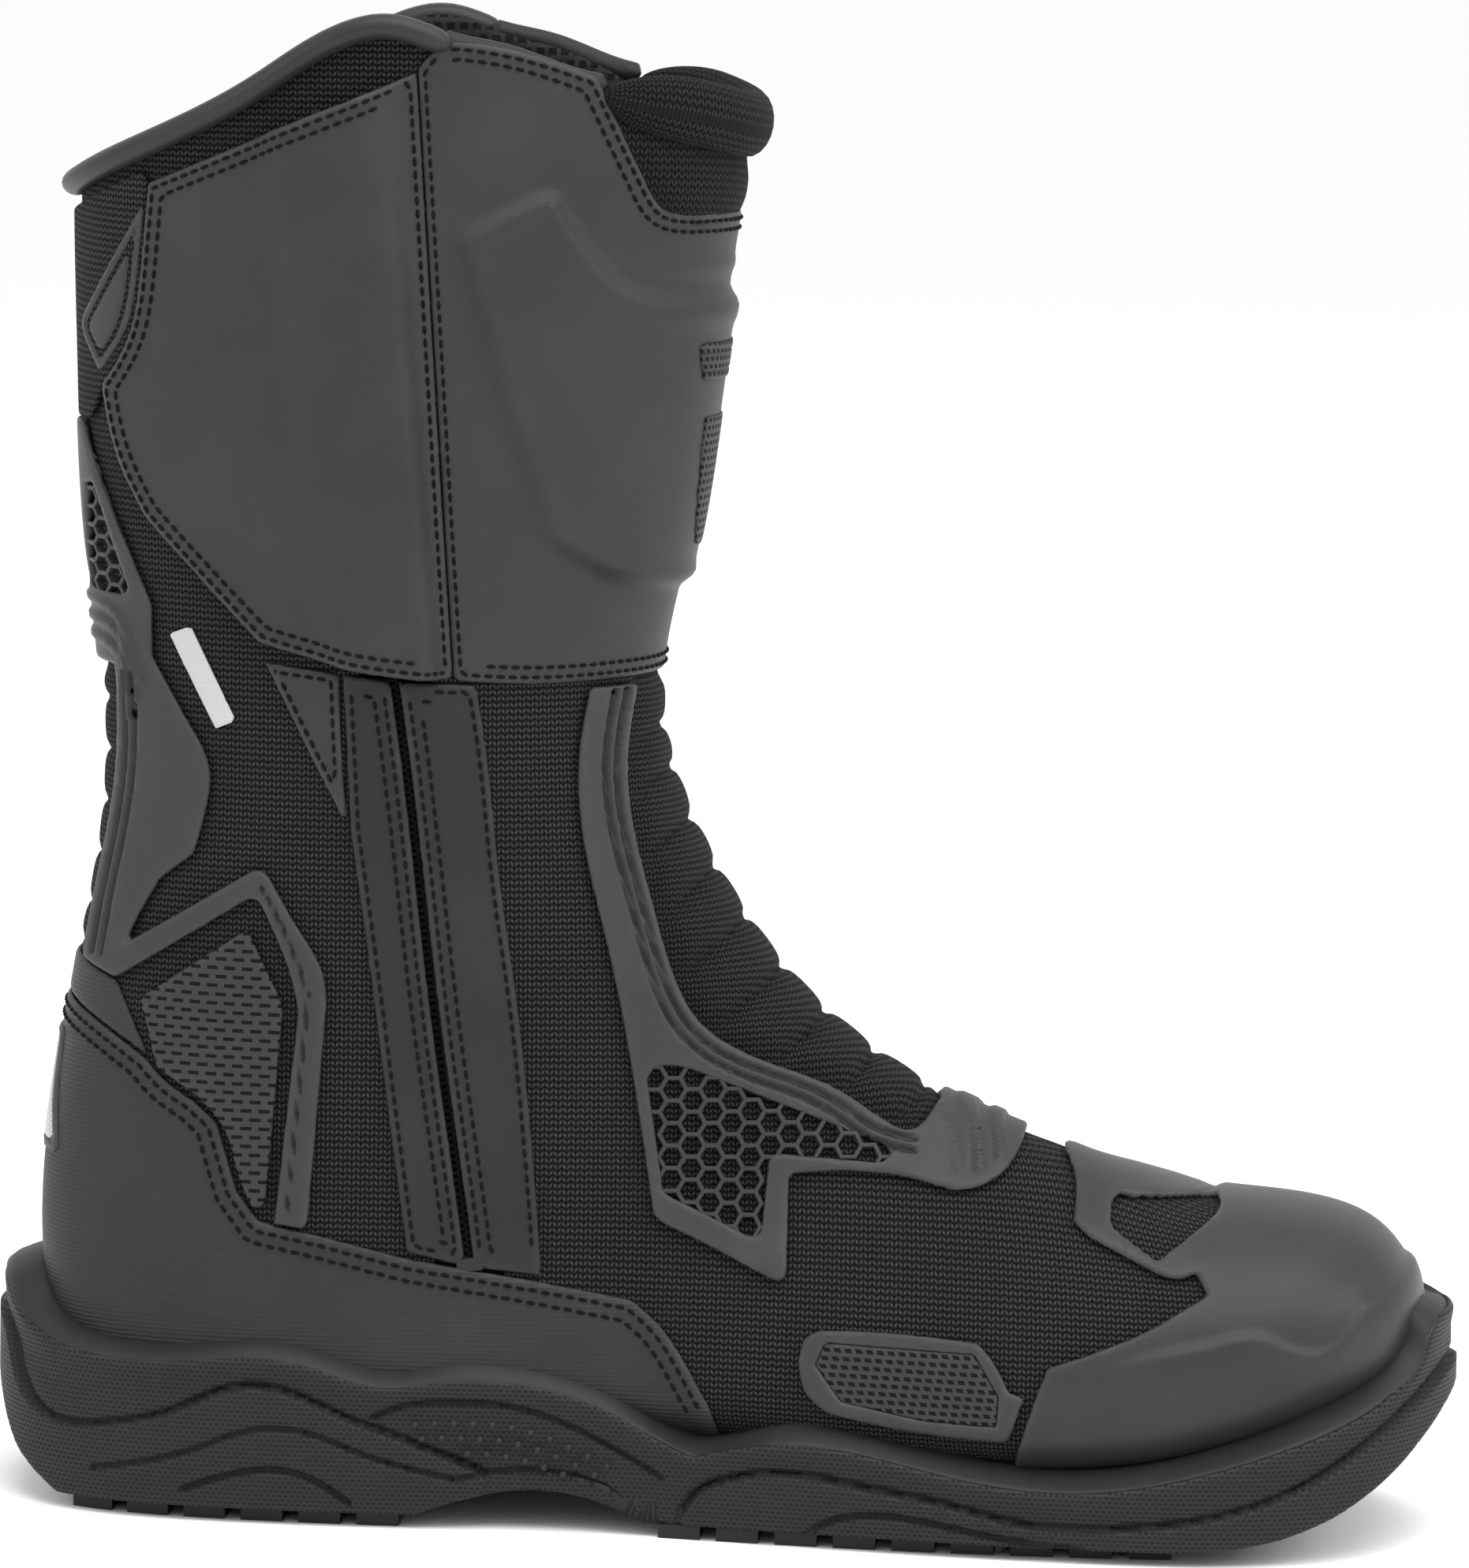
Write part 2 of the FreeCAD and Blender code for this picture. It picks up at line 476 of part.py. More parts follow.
def block(label, low, high):
    """upright box between two corners of the standard boot; a side of None reaches past the boot"""
    grades = (grade_x, grade_y, grade_z)
    low = [far if v is None else v for v, far in zip(low, (FAR_BACK, -FAR_ASIDE, FAR_BELOW))]
    high = [far if v is None else v for v, far in zip(high, (FAR_FRONT, FAR_ASIDE, FAR_ABOVE))]
    low, high = ([grade(v) for grade, v in zip(grades, corner)] for corner in (low, high))
    box = doc.addObject("Part::Box", "block")
    box.Label = label
    box.Length, box.Width, box.Height = (high[i] - low[i] for i in range(3))
    box.Placement = Placement(Vector(*low), Rotation())
    return box


def bound_box(label, sizes, placement):
    """box whose sides are bound to the sheet"""
    box = doc.addObject("Part::Box", "box")
    box.Label = label
    for side, expression in zip(("Length", "Width", "Height"), sizes):
        box.setExpression(side, expression)
    box.Placement = placement
    return box


# ---------------------------------------------------------------- the zip line, straight up the inner side
def near_skin(x, z, offset=0.0):
    """point of the inner side of the form at a graded x and z"""
    ray = Part.makeLine(Vector(x, -size("cut_reach"), z), Vector(x, 0, z))
    inside = form(offset).Shape.common(ray)
    return Vector(x, min(vertex.Y for vertex in inside.Vertexes), z)


zip_low = near_skin(grade_x(ZIP_FOOT[0]), grade_z(ZIP_FOOT[1]))
zip_high = near_skin(grade_x(ZIP_HEAD[0]), grade_z(ZIP_HEAD[1]))
zip_length = (zip_high - zip_low).Length
zip_up = (zip_high - zip_low).normalize()
zip_out = (Vector(0, -1, 0) - zip_up * Vector(0, -1, 0).dot(zip_up)).normalize()
zip_across = zip_up.cross(zip_out)          # towards the toe
zip_turn = Rotation(zip_across, zip_up, zip_out, "ZXY")
ZIP_MARGIN = 5.0                            # tapes and slot run on past the stops
STOP_LENGTH = size("zip_stop_length")
slider_rest = zip_length - STOP_LENGTH - size("seam_gap") - size("slider_length") / 2
slider_lowest = STOP_LENGTH + size("seam_gap") + size("slider_length") / 2


def zip_block(label, low_across, high_across, start, end):
    """box on the zip line: from low to high across it, from start to end up it, through the near side"""
    box = doc.addObject("Part::Box", "zip_block")
    box.Label = label
    box.Length = high_across - low_across
    box.Width = end - start
    box.Height = 40.0
    corner = zip_low + zip_across * low_across + zip_up * start - zip_out * 20.0
    box.Placement = Placement(corner, zip_turn)
    return box


zip_slot = zip_block("zip slot", -size("zip_slot") / 2, size("zip_slot") / 2, -ZIP_MARGIN, zip_length + ZIP_MARGIN)
swing_slot = zip_block("slider swing room", -size("zip_slot") / 2 - size("slider_swing"), 0,
                       -ZIP_MARGIN, zip_length + ZIP_MARGIN)

# ---------------------------------------------------------------- cutters shared by several pieces
below_ankle = block("below the ankle", (None, None, FAR_BELOW), (None, None, ANKLE_LOW))
ankle_band = block("ankle band", (None, None, ANKLE_LOW), (None, None, ANKLE_HIGH))
near_ankle = block("near ankle", (None, None, ANKLE_LOW), (None, 0, ANKLE_HIGH))
far_ankle = block("far ankle", (None, 0, ANKLE_LOW), (None, None, ANKLE_HIGH))
above_ankle = block("above the ankle", (None, None, ANKLE_HIGH), (None, None, FAR_ABOVE))
above_ankle.Placement.Base.z += size("seam_gap")
rear_of_roll_front = block("rear of the roll's end", (FAR_BACK, None, 200), (ROLL_FRONT, None, FAR_ABOVE))
middle_of_rim = block("middle of the rim", (ROLL_FRONT, None, 200), (PAD_REAR, None, FAR_ABOVE))
front_of_pad = block("front of the pad's end", (PAD_REAR, None, 200), (None, None, FAR_ABOVE))
instep_region = side_cutter("instep_bellows", "both")
rear_region = side_cutter("rear_bellows", "both")
under_board = side_cutter("board", "both")

# ---------------------------------------------------------------- inner layers
panel("lining", (LINING_IN, LINING_OUT), "collar_base_side")
panel("membrane", (MEMBRANE_IN, MEMBRANE_OUT), "collar_base_side")
PADDING = (PADDING_IN, PADDING_OUT)
shin_guard_region = side_cutter("shin_guard", "both")
panel("ankle_padding", PADDING, "collar_base_side", within=[ankle_band], without=[zip_slot])
panel("collar_padding", PADDING, "collar_base_side", within=[above_ankle], without=[zip_slot, shin_guard_region])
panel("shin_guard_plate", PADDING, "shin_guard")
panel("heel_counter", PADDING, "heel_counter", without=[under_board])
panel("toe_puff", PADDING, "toe_puff", without=[under_board])
panel("lasting_board", (PADDING_IN, LEATHER_OUT), "board")

# ---------------------------------------------------------------- woven upper and its bellows
TEXTILE = (TEXTILE_IN, TEXTILE_OUT)
panel("quarter_textile", TEXTILE, "collar_base_side", within=[below_ankle],
      without=[zip_slot, swing_slot, instep_region, rear_region, under_board])
panel("ankle_textile_near", TEXTILE, "collar_base_side", within=[near_ankle],
      without=[zip_slot, instep_region, rear_region])
panel("ankle_textile_far", TEXTILE, "collar_base_side", within=[far_ankle], without=[instep_region, rear_region])
panel("shaft_textile", TEXTILE, "collar_base_side", within=[above_ankle], cut=[zip_slot])
panel("instep_bellows", TEXTILE, "instep_bellows")
panel("rear_bellows", TEXTILE, "rear_bellows")

# ---------------------------------------------------------------- moulded frames, guards and leather overlays
LEATHER = (LEATHER_IN, LEATHER_OUT)
FRAME = (LEATHER_IN, FRAME_OUT)
panel("instep_frame", FRAME, "instep_frame", without=[side_cutter("instep_window", "both")])
panel("rear_frame", FRAME, "rear_frame",
      without=[side_cutter("rear_frame_hollow", "both"), side_cutter("rear_window", "both")])
panel("toe_guard", LEATHER, "toe_guard", without=[under_board, side_cutter("toe_window", "both")])
panel("heel_overlay", LEATHER, "heel_overlay", without=[under_board])
panel("heel_top_patch", LEATHER, "heel_top_patch")
panel("reflective_heel_insert", (LEATHER_OUT + size("glue_film"), PATCH_OUT), "reflective_heel_insert")
for side in ("near", "far"):
    panel(f"ankle_guard_{side}", LEATHER, "ankle_guard", side)
    panel(f"gear_pad_{side}", LEATHER, "gear_pad", side)

# ---------------------------------------------------------------- collar, between its base line and its top line
collar_base = side_cutter("collar_base_side", "both")
roll_region = region("roll", "collar_top_side", within=[rear_of_roll_front], without=[collar_base])
binding_region = region("binding", "collar_top_side", within=[middle_of_rim], without=[collar_base])
pad_region = region("front pad", "collar_top_side", within=[front_of_pad], without=[collar_base])
COLLAR = (LINING_IN, LEATHER_OUT + size("collar_roll_out"))
keep(boolean("Common", form(*COLLAR), roll_region, "rear roll"), "rear_collar_roll")
keep(boolean("Common", form(*COLLAR), pad_region, "front pad"), "front_collar_pad")
keep(boolean("Common", form(LINING_IN, TEXTILE_OUT), binding_region, "binding"), "front_rim_binding")
panel("front_collar_knit", LEATHER, "front_collar_knit")
panel("rear_collar_knit", LEATHER, "rear_collar_knit")

# ---------------------------------------------------------------- shaft leather and the calf flap
panel("shin_panel", LEATHER, "shin_panel", without=[roll_region, pad_region])
panel("calf_panel", LEATHER, "calf_panel", "far")
panel("calf_flap", (FLAP_IN, FLAP_OUT), "calf_flap", "near")
panel("flap_hook_patch", (FLAP_IN - size("glue_film") - size("hook_thick"), FLAP_IN - size("glue_film")),
      "flap_patch", "near")
panel("loop_patch", LEATHER, "flap_patch", "near")
panel("badge_plate", (LEATHER_OUT + size("glue_film"), LEATHER_OUT + size("glue_film") + size("badge_thick")),
      "badge_plate", "near")
panel("sewn_label", LEATHER, "sewn_label", "near")

# ---------------------------------------------------------------- zip
panel("zip_gore", LEATHER, "zip_gore", "near")
panel("zip_strip_rear", LEATHER, "zip_strip_rear", "near")
panel("zip_strip_front", LEATHER, "zip_strip_front", "near")
half_gap = size("zip_coil_gap") / 2
for side, hand in (("rear", -1), ("front", 1)):
    edges = sorted((hand * half_gap, hand * (half_gap + size("zip_tape_width"))))
    tape = boolean("Common", form(PADDING_IN, TAPE_OUT),
                   zip_block(f"{side} tape strip", *edges, -ZIP_MARGIN + 1, zip_length + ZIP_MARGIN - 1),
                   f"{side} tape")
    keep(tape, f"zip_tape_{side}")
    edges = sorted((hand * half_gap, hand * (half_gap + size("zip_coil_width"))))
    coil = boolean("Common", form(TAPE_OUT + size("glue_film"), COIL_OUT),
                   zip_block(f"{side} coil strip", *edges, STOP_LENGTH, slider_rest), f"{side} coil")
    keep(coil, f"zip_coil_{side}")
stop_reach = half_gap + size("zip_coil_width")
post_room = size("slider_post") / 2 + size("seam_gap")
STOP = (TAPE_OUT + size("glue_film"), COIL_OUT)
bottom_stop_block = zip_block("bottom stop", -stop_reach, stop_reach, 0, STOP_LENGTH - size("seam_gap"))
keep(boolean("Common", form(*STOP), bottom_stop_block, "bottom stop"), "zip_bottom_stop")
top_stop_blocks = doc.addObject("Part::MultiFuse", "top_stop_blocks")
top_stop_blocks.Shapes = [zip_block("rear top stop", -stop_reach, -post_room, zip_length - STOP_LENGTH, zip_length),
                          zip_block("front top stop", post_room, stop_reach, zip_length - STOP_LENGTH, zip_length)]
keep(boolean("Common", form(*STOP), top_stop_blocks, "top stops"), "zip_top_stops")


# ---------------------------------------------------------------- PartDesign bodies
def new_body(label):
    body = doc.addObject("PartDesign::Body", label)
    body.Label = label
    return body


def plane_sketch(body, role, name, height=None):
    """sketch on one of the body's origin planes, raised by an expression"""
    plane = next(f for f in body.Origin.OriginFeatures if f.Role == role)
    sketch = body.newObject("Sketcher::SketchObject", name)
    sketch.AttachmentSupport = [(plane, "")]
    sketch.MapMode = "FlatFace"
    if height:
        sketch.setExpression("AttachmentOffset.Base.z", height)
    return sketch


def rectangle(sketch, width, length, centre=(0.0, 0.0)):
    """rectangle whose sides are driven by sheet expressions, about a centre"""
    first = sketch.GeometryCount
    across = float(doc_value(width))
    along = float(doc_value(length))
    x0, y0 = centre[0] - across / 2, centre[1] - along / 2
    corners = [Vector(x0, y0, 0), Vector(x0 + across, y0, 0), Vector(x0 + across, y0 + along, 0),
               Vector(x0, y0 + along, 0)]
    for a, b in zip(corners, corners[1:] + corners[:1]):
        sketch.addGeometry(Part.LineSegment(a, b))
    for i in range(4):
        sketch.addConstraint(Sketcher.Constraint("Coincident", first + i, 2, first + (i + 1) % 4, 1))
    for i, kind in enumerate(("Horizontal", "Vertical", "Horizontal", "Vertical")):
        sketch.addConstraint(Sketcher.Constraint(kind, first + i))
    for edge, reference, expression in ((0, across, width), (1, along, length)):
        index = sketch.addConstraint(Sketcher.Constraint("Distance", first + edge, reference))
        sketch.setExpression(f"Constraints[{index}]", expression)
    sketch.addConstraint(Sketcher.Constraint("DistanceX", -1, 1, first, 1, x0))
    sketch.addConstraint(Sketcher.Constraint("DistanceY", -1, 1, first, 1, y0))


def doc_value(expression):
    """number of an expression made of sheet aliases, read back through a cell of the sheet"""
    row = len(SIZES) + 2 + len(scratch_cells)
    scratch_cells.append(expression)
    sheet.set(f"D{row}", "=" + expression.replace("Sizes.", ""))
    sheet.recompute()
    return sheet.get(f"D{row}")


scratch_cells = []


def pad(body, sketch, length, name, reverse=False, symmetric=False):
    feature = body.newObject("PartDesign::Pad", name)
    feature.Profile = sketch
    feature.setExpression("Length", length)
    feature.Reversed = reverse
    if symmetric:
        feature.Midplane = True
    return feature


# ---------------------------------------------------------------- sole
def plan_prism(label, inset):
    """upright prism of the sole's outline, standing in by the inset"""
    half = [(x + inset if y == 0 and x < 0 else x - inset if y == 0 else x, max(y - inset, 0))
            for x, y in SOLE_PLAN]
    loop = [(x, -y) for x, y in half] + [(x, y) for x, y in reversed(half[1:-1])]
    curve = Part.BSplineCurve()
    curve.interpolate([Vector(grade_x(x), grade_y(y + swing(x)), 0) for x, y in loop], PeriodicFlag=True)
    sketch = doc.addObject("Sketcher::SketchObject", "plan")
    sketch.Label = f"{label} outline"
    sketch.addGeometry(curve)
    prism = doc.addObject("Part::Extrusion", "plan_prism")
    prism.Label = label
    prism.Base = sketch
    prism.Dir = Vector(0, 0, 1)
    prism.DirMode = "Custom"
    prism.LengthFwd = grade_z(70)
    prism.Solid = True
    return prism


sole_plan = plan_prism("sole plan", 0.0)
lug_plan = plan_prism("lug plan", size("lug_inset"))
outsole = boolean("Common", sole_plan, side_cutter("outsole", "both"), "outsole")
keep(outsole, "outsole")

shank = new_body("shank")
sketch = plane_sketch(shank, "XY_Plane", "shank_outline")
rectangle(sketch, "Sizes.shank_length", "Sizes.shank_width")
pad(shank, sketch, "Sizes.shank_thick", "shank_plate")
SHANK_TOP = [(-72, 18.6), (4, 13.8)]        # the stiffener's upper face, just under the board
shank_ends = [Vector(grade_x(x), 0, grade_z(z)) for x, z in SHANK_TOP]
shank_tilt = math.degrees(math.atan2(shank_ends[0].z - shank_ends[1].z, shank_ends[1].x - shank_ends[0].x))
shank_turn = Rotation(Vector(0, 1, 0), shank_tilt)
shank_middle = (shank_ends[0] + shank_ends[1]) * 0.5 + Vector(0, grade_y(swing(-34)), 0)
shank.Placement = Placement(shank_middle + shank_turn.multVec(Vector(0, 0, -size("shank_thick"))), shank_turn)
keep(shank, "shank")

cup = boolean("Common", sole_plan, side_cutter("midsole", "both"), "sole cup blank")
cup = boolean("Cut", cup, shank, "sole cup with pocket")
keep(boolean("Cut", cup, form(LEATHER_OUT + size("glue_film")), "sole cup"), "midsole")
keep(boolean("Common", form(LINING_IN - size("glue_film")), side_cutter("insole", "both"), "insole"), "insole")


def lug_row(label, span):
    """evenly spaced bars across the sole, between two places along it"""
    pitch, width = size("lug_pitch"), size("lug_width")
    start, end = grade_x(span[0]), grade_x(span[1])
    count = int((end - start - width) // pitch) + 1
    first = (start + end - (count - 1) * pitch) / 2
    bars = doc.addObject("Part::MultiFuse", "bars")
    bars.Label = f"{label} bars"
    bars.Shapes = [bound_box(f"{label} bar {i}", ("Sizes.lug_width", "2 * Sizes.cut_reach", "Sizes.lug_depth"),
                             Placement(Vector(first + i * pitch - width / 2, -size("cut_reach"), 0), Rotation()))
                   for i in range(count)]
    return keep(boolean("Common", lug_plan, bars, label), label)


lug_row("heel_lugs", HEEL_TREAD)
lug_row("forefoot_lugs", BALL_TREAD)

# ---------------------------------------------------------------- slider and puller, in their own frame:
# X across the zip, Y up it, Z outwards, origin on the form's skin
slider = new_body("zip_slider")
sketch = plane_sketch(slider, "XY_Plane", "plate_outline", "Sizes.seam_gap")
rectangle(sketch, "Sizes.slider_width", "Sizes.slider_length")
pad(slider, sketch, "Sizes.slider_plate", "plate")
sketch = plane_sketch(slider, "XY_Plane", "bridge_outline", "Sizes.seam_gap")
rectangle(sketch, "Sizes.slider_post", "Sizes.bridge_length",
          (0.0, size("slider_length") / 2 - size("bridge_length") / 2))
pad(slider, sketch, "Sizes.seam_gap + Sizes.leather_thick + Sizes.textile_thick", "bridge", reverse=True)
ear_height = "Sizes.seam_gap + Sizes.puller_thick / 2 + Sizes.pin_radius + Sizes.ear_wall"
ear_spot = size("puller_width") / 2 + size("seam_gap") + size("ear_thick") / 2 - 1.0
for name, hand in (("left", -1), ("right", 1)):
    sketch = plane_sketch(slider, "XY_Plane", f"{name}_ear_outline", "Sizes.seam_gap + Sizes.slider_plate")
    rectangle(sketch, "Sizes.ear_thick", "Sizes.ear_length", (hand * ear_spot, 0.0))
    pad(slider, sketch, ear_height, f"{name}_ear")
sketch = plane_sketch(slider, "YZ_Plane", "pin_hole_outline")
sketch.addGeometry(Part.Circle(Vector(0, PIN_HEIGHT, 0), Vector(0, 0, 1), size("pin_radius") + size("pin_clearance")))
hole = slider.newObject("PartDesign::Pocket", "pin_hole")
hole.Profile = sketch
hole.Midplane = True
hole.setExpression("Length", "2 * Sizes.slider_width")
keep(slider, "zip_slider")

puller = new_body("zip_puller")
sketch = plane_sketch(puller, "XY_Plane", "tab_outline")
sketch.setExpression("AttachmentOffset.Base.z", "Sizes.puller_thick / -2")
neck = 2 * (ear_spot - size("ear_thick") / 2 - size("seam_gap"))
head = size("pin_radius") + 0.6
tail = size("puller_length")
wide = size("puller_width") / 2
shoulder = size("ear_length") / 2 + 1.0
tab = [(-neck / 2, head), (neck / 2, head), (neck / 2, -shoulder), (wide, -shoulder - 1.5), (wide, -tail),
       (-wide, -tail), (-wide, -shoulder - 1.5), (-neck / 2, -shoulder)]
for (x0, y0), (x1, y1) in zip(tab, tab[1:] + tab[:1]):
    sketch.addGeometry(Part.LineSegment(Vector(x0, y0, 0), Vector(x1, y1, 0)))
pad(puller, sketch, "Sizes.puller_thick", "tab")
sketch = plane_sketch(puller, "YZ_Plane", "pin_outline")
sketch.addGeometry(Part.Circle(Vector(0, 0, 0), Vector(0, 0, 1), size("pin_radius")))
pin_reach = 2 * (ear_spot + size("ear_thick") / 2)
pin = puller.newObject("PartDesign::Pad", "pin")
pin.Profile = sketch
pin.Midplane = True
pin.Length = pin_reach
keep(puller, "zip_puller")

rest_point = zip_low + zip_up * slider_rest
slider.Placement = Placement(rest_point, zip_turn)
puller.Placement = Placement(rest_point + zip_out * PIN_HEIGHT, zip_turn)

# ---------------------------------------------------------------- check and write
doc.recompute()
for item in doc.Objects:
    if "Invalid" in item.State or "Error" in item.State:
        raise RuntimeError(f"{item.Label} failed to build")
os.makedirs("parts", exist_ok=True)
for item in parts:
    shape = item.Shape
    if shape.isNull() or not shape.isValid() or not shape.Solids:
        raise RuntimeError(f"{item.Label} has no valid shape")
    shape.exportStep(f"parts/{item.Label}.step")
    print(f"{item.Label:24s} {len(shape.Solids):3d} solids {shape.Volume / 1000:8.2f} cm3")


def metres(vector):
    return [round(c / 1000, 5) for c in vector]


hinge_low = near_skin(grade_x(OUTLINES["calf_flap"][0][0]), grade_z(OUTLINES["calf_flap"][0][1]), FLAP_OUT)
hinge_high = near_skin(grade_x(OUTLINES["calf_flap"][1][0]), grade_z(OUTLINES["calf_flap"][1][1]), FLAP_OUT)
print("zip axis", metres(zip_up * 1000), "run", round((slider_rest - slider_lowest) / 1000, 5))
print("puller pivot", metres(puller.Placement.Base), "axis", metres(zip_across * 1000))
print("flap hinge", metres(hinge_low), "axis", metres((hinge_high - hinge_low).normalize() * 1000))
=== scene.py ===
import math

import bpy
import numpy as np
from mathutils import Matrix, Vector
from mathutils.bvhtree import BVHTree


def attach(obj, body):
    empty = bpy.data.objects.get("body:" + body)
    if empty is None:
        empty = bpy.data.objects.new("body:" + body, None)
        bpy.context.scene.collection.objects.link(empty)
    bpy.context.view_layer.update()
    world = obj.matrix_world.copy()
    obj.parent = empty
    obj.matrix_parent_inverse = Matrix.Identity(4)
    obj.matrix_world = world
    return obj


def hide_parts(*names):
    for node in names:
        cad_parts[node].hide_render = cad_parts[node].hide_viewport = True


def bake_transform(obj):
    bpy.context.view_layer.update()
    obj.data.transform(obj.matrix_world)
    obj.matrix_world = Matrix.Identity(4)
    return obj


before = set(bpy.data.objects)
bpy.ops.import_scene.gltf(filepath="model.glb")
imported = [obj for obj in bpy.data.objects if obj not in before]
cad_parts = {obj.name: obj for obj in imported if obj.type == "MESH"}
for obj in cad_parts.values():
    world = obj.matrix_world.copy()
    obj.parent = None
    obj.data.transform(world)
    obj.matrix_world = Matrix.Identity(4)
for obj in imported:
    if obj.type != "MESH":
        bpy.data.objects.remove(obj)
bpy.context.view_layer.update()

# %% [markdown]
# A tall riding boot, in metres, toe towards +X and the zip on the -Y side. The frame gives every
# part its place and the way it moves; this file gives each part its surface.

MM = 0.001
bpy.ops.object.select_all(action="DESELECT")

# %% [markdown]
# A boot is sewn over a last: a smooth foot-shaped block. Every panel lies on that block, so we make
# the block's surface once. It is a row of rings, from the collar down the leg, round the heel and
# out to the toe. Each ring has a rear (or lower) end, a front (or upper) end, half its width, where
# along it is widest, and how square its rear half is. A natural cubic curve joins the rings.

# %% A smooth curve through points
def curve_through(knots, points, wanted):
    """natural cubic curve through points at knots, read at the wanted places"""
    knots, wanted = np.asarray(knots, float), np.asarray(wanted, float)
    points = np.asarray(points, float)
    flat = points.reshape(len(knots), -1)
    step = np.diff(knots)
    system, pull = np.eye(len(knots)), np.zeros_like(flat)
    for i in range(1, len(knots) - 1):
        system[i, i - 1:i + 2] = step[i - 1], 2 * (step[i - 1] + step[i]), step[i]
        pull[i] = 6 * ((flat[i + 1] - flat[i]) / step[i] - (flat[i] - flat[i - 1]) / step[i - 1])
    bend = np.linalg.solve(system, pull)
    k = np.clip(np.searchsorted(knots, wanted, "right") - 1, 0, len(knots) - 2)
    h = step[k][:, None]
    a = ((knots[k + 1] - wanted)[:, None]) / h
    b = 1 - a
    read = a * flat[k] + b * flat[k + 1] + ((a ** 3 - a) * bend[k] + (b ** 3 - b) * bend[k + 1]) * h * h / 6
    return read.reshape((len(wanted),) + points.shape[1:])


def soft(value, low, high):
    """0 below low, 1 above high, smooth between"""
    t = np.clip((value - low) / (high - low), 0, 1)
    return t * t * (3 - 2 * t)


# %% The last's rings, in millimetres
RINGS = [
    ((-143.5, 330), (6, 330), 51.0, 0.50, 2.1),
    ((-143.5, 283), (2, 299), 49.5, 0.50, 2.1),
    ((-142.5, 245), (-5, 250), 48.0, 0.50, 2.1),
    ((-140.5, 208), (-11, 207), 46.5, 0.50, 2.1),
    ((-137, 176), (-16, 178), 45.0, 0.50, 2.1),
    ((-137, 150), (-11, 153), 43.8, 0.48, 2.1),
    ((-141, 124), (4, 126), 42.5, 0.45, 2.3),
    ((-145.5, 96), (20, 108), 41.5, 0.42, 2.5),
    ((-148.5, 68), (38, 95), 41.0, 0.38, 2.8),
    ((-147.5, 46), (50, 89), 41.0, 0.34, 3.0),
    ((-140, 28), (60, 85), 41.5, 0.33, 3.0),
    ((-122, 21.5), (67, 82.5), 42.0, 0.33, 3.0),
    ((-95, 20.5), (73, 80.5), 43.0, 0.33, 3.0),
    ((-60, 19), (80, 78), 44.0, 0.33, 3.0),
    ((-20, 16.5), (88, 76), 46.5, 0.32, 3.0),
    ((20, 13.5), (96, 74), 49.0, 0.32, 3.0),
    ((55, 12), (106, 72), 50.0, 0.32, 3.0),
    ((85, 14), (119, 71), 48.5, 0.34, 3.0),
    ((110, 19), (132, 69), 44.0, 0.38, 2.8),
    ((129, 26), (142, 64), 35.0, 0.42, 2.5),
    ((141, 33), (148, 56), 23.0, 0.46, 2.3),
    ((147, 39), (150.5, 49), 10.0, 0.50, 2.1),
]
FRONT_SQUARENESS = 2.1
SWING_X, SWING_Y = (-170, -60, -10, 45, 110, 170), (0, 1, 3, 0, -5, -8)   # the foot's curve, seen from above
ROWS, HALF = 430, 132


def ring_side(rear, front, width, widest, squareness):
    """one side of a ring, evenly spaced from its rear end to its front end"""
    rear, front = np.array([rear[0], 0, rear[1]], float), np.array([front[0], 0, front[1]], float)
    length = np.linalg.norm(front - rear)
    behind = widest * length
    a = np.linspace(0, math.pi / 2, 90)
    along = np.r_[behind * (1 - np.cos(a) ** (2 / squareness)),
                  behind + (length - behind) * np.sin(a[1:]) ** (2 / FRONT_SQUARENESS)]
    aside = np.r_[width * np.sin(a) ** (2 / squareness), width * np.abs(np.cos(a[1:])) ** (2 / FRONT_SQUARENESS)]
    walked = np.r_[0, np.cumsum(np.hypot(np.diff(along), np.diff(aside)))]
    even = np.linspace(0, walked[-1], HALF + 1)
    along, aside = np.interp(even, walked, along), np.interp(even, walked, aside)
    return rear + np.outer(along, (front - rear) / length) - np.outer(aside, [0, 1, 0])


# %% The last's surface
class Skin:
    """a surface as a grid of points, with outward directions and cloth coordinates, in millimetres"""

    def __init__(self, points, cloth, closed):
        ahead = np.roll(points, -1, 1) - np.roll(points, 1, 1) if closed else np.gradient(points, axis=1)
        normal = np.cross(np.gradient(points, axis=0), ahead)
        self.points, self.cloth, self.closed = points, cloth, closed
        self.normal = normal / np.maximum(np.linalg.norm(normal, axis=2, keepdims=True), 1e-9)


sides = np.array([ring_side(*ring) for ring in RINGS])
travel = np.r_[0, np.cumsum(np.linalg.norm(np.diff(sides, axis=0), axis=2).mean(1))]
near_side = curve_through(travel, sides, np.linspace(0, travel[-1], ROWS))
far_side = near_side[:, -2:0:-1] * [1, -1, 1]
whole = np.concatenate([near_side, far_side], 1)
whole[..., 1] += curve_through(SWING_X, np.array(SWING_Y)[:, None], whole[..., 0].ravel()).reshape(whole.shape[:2])

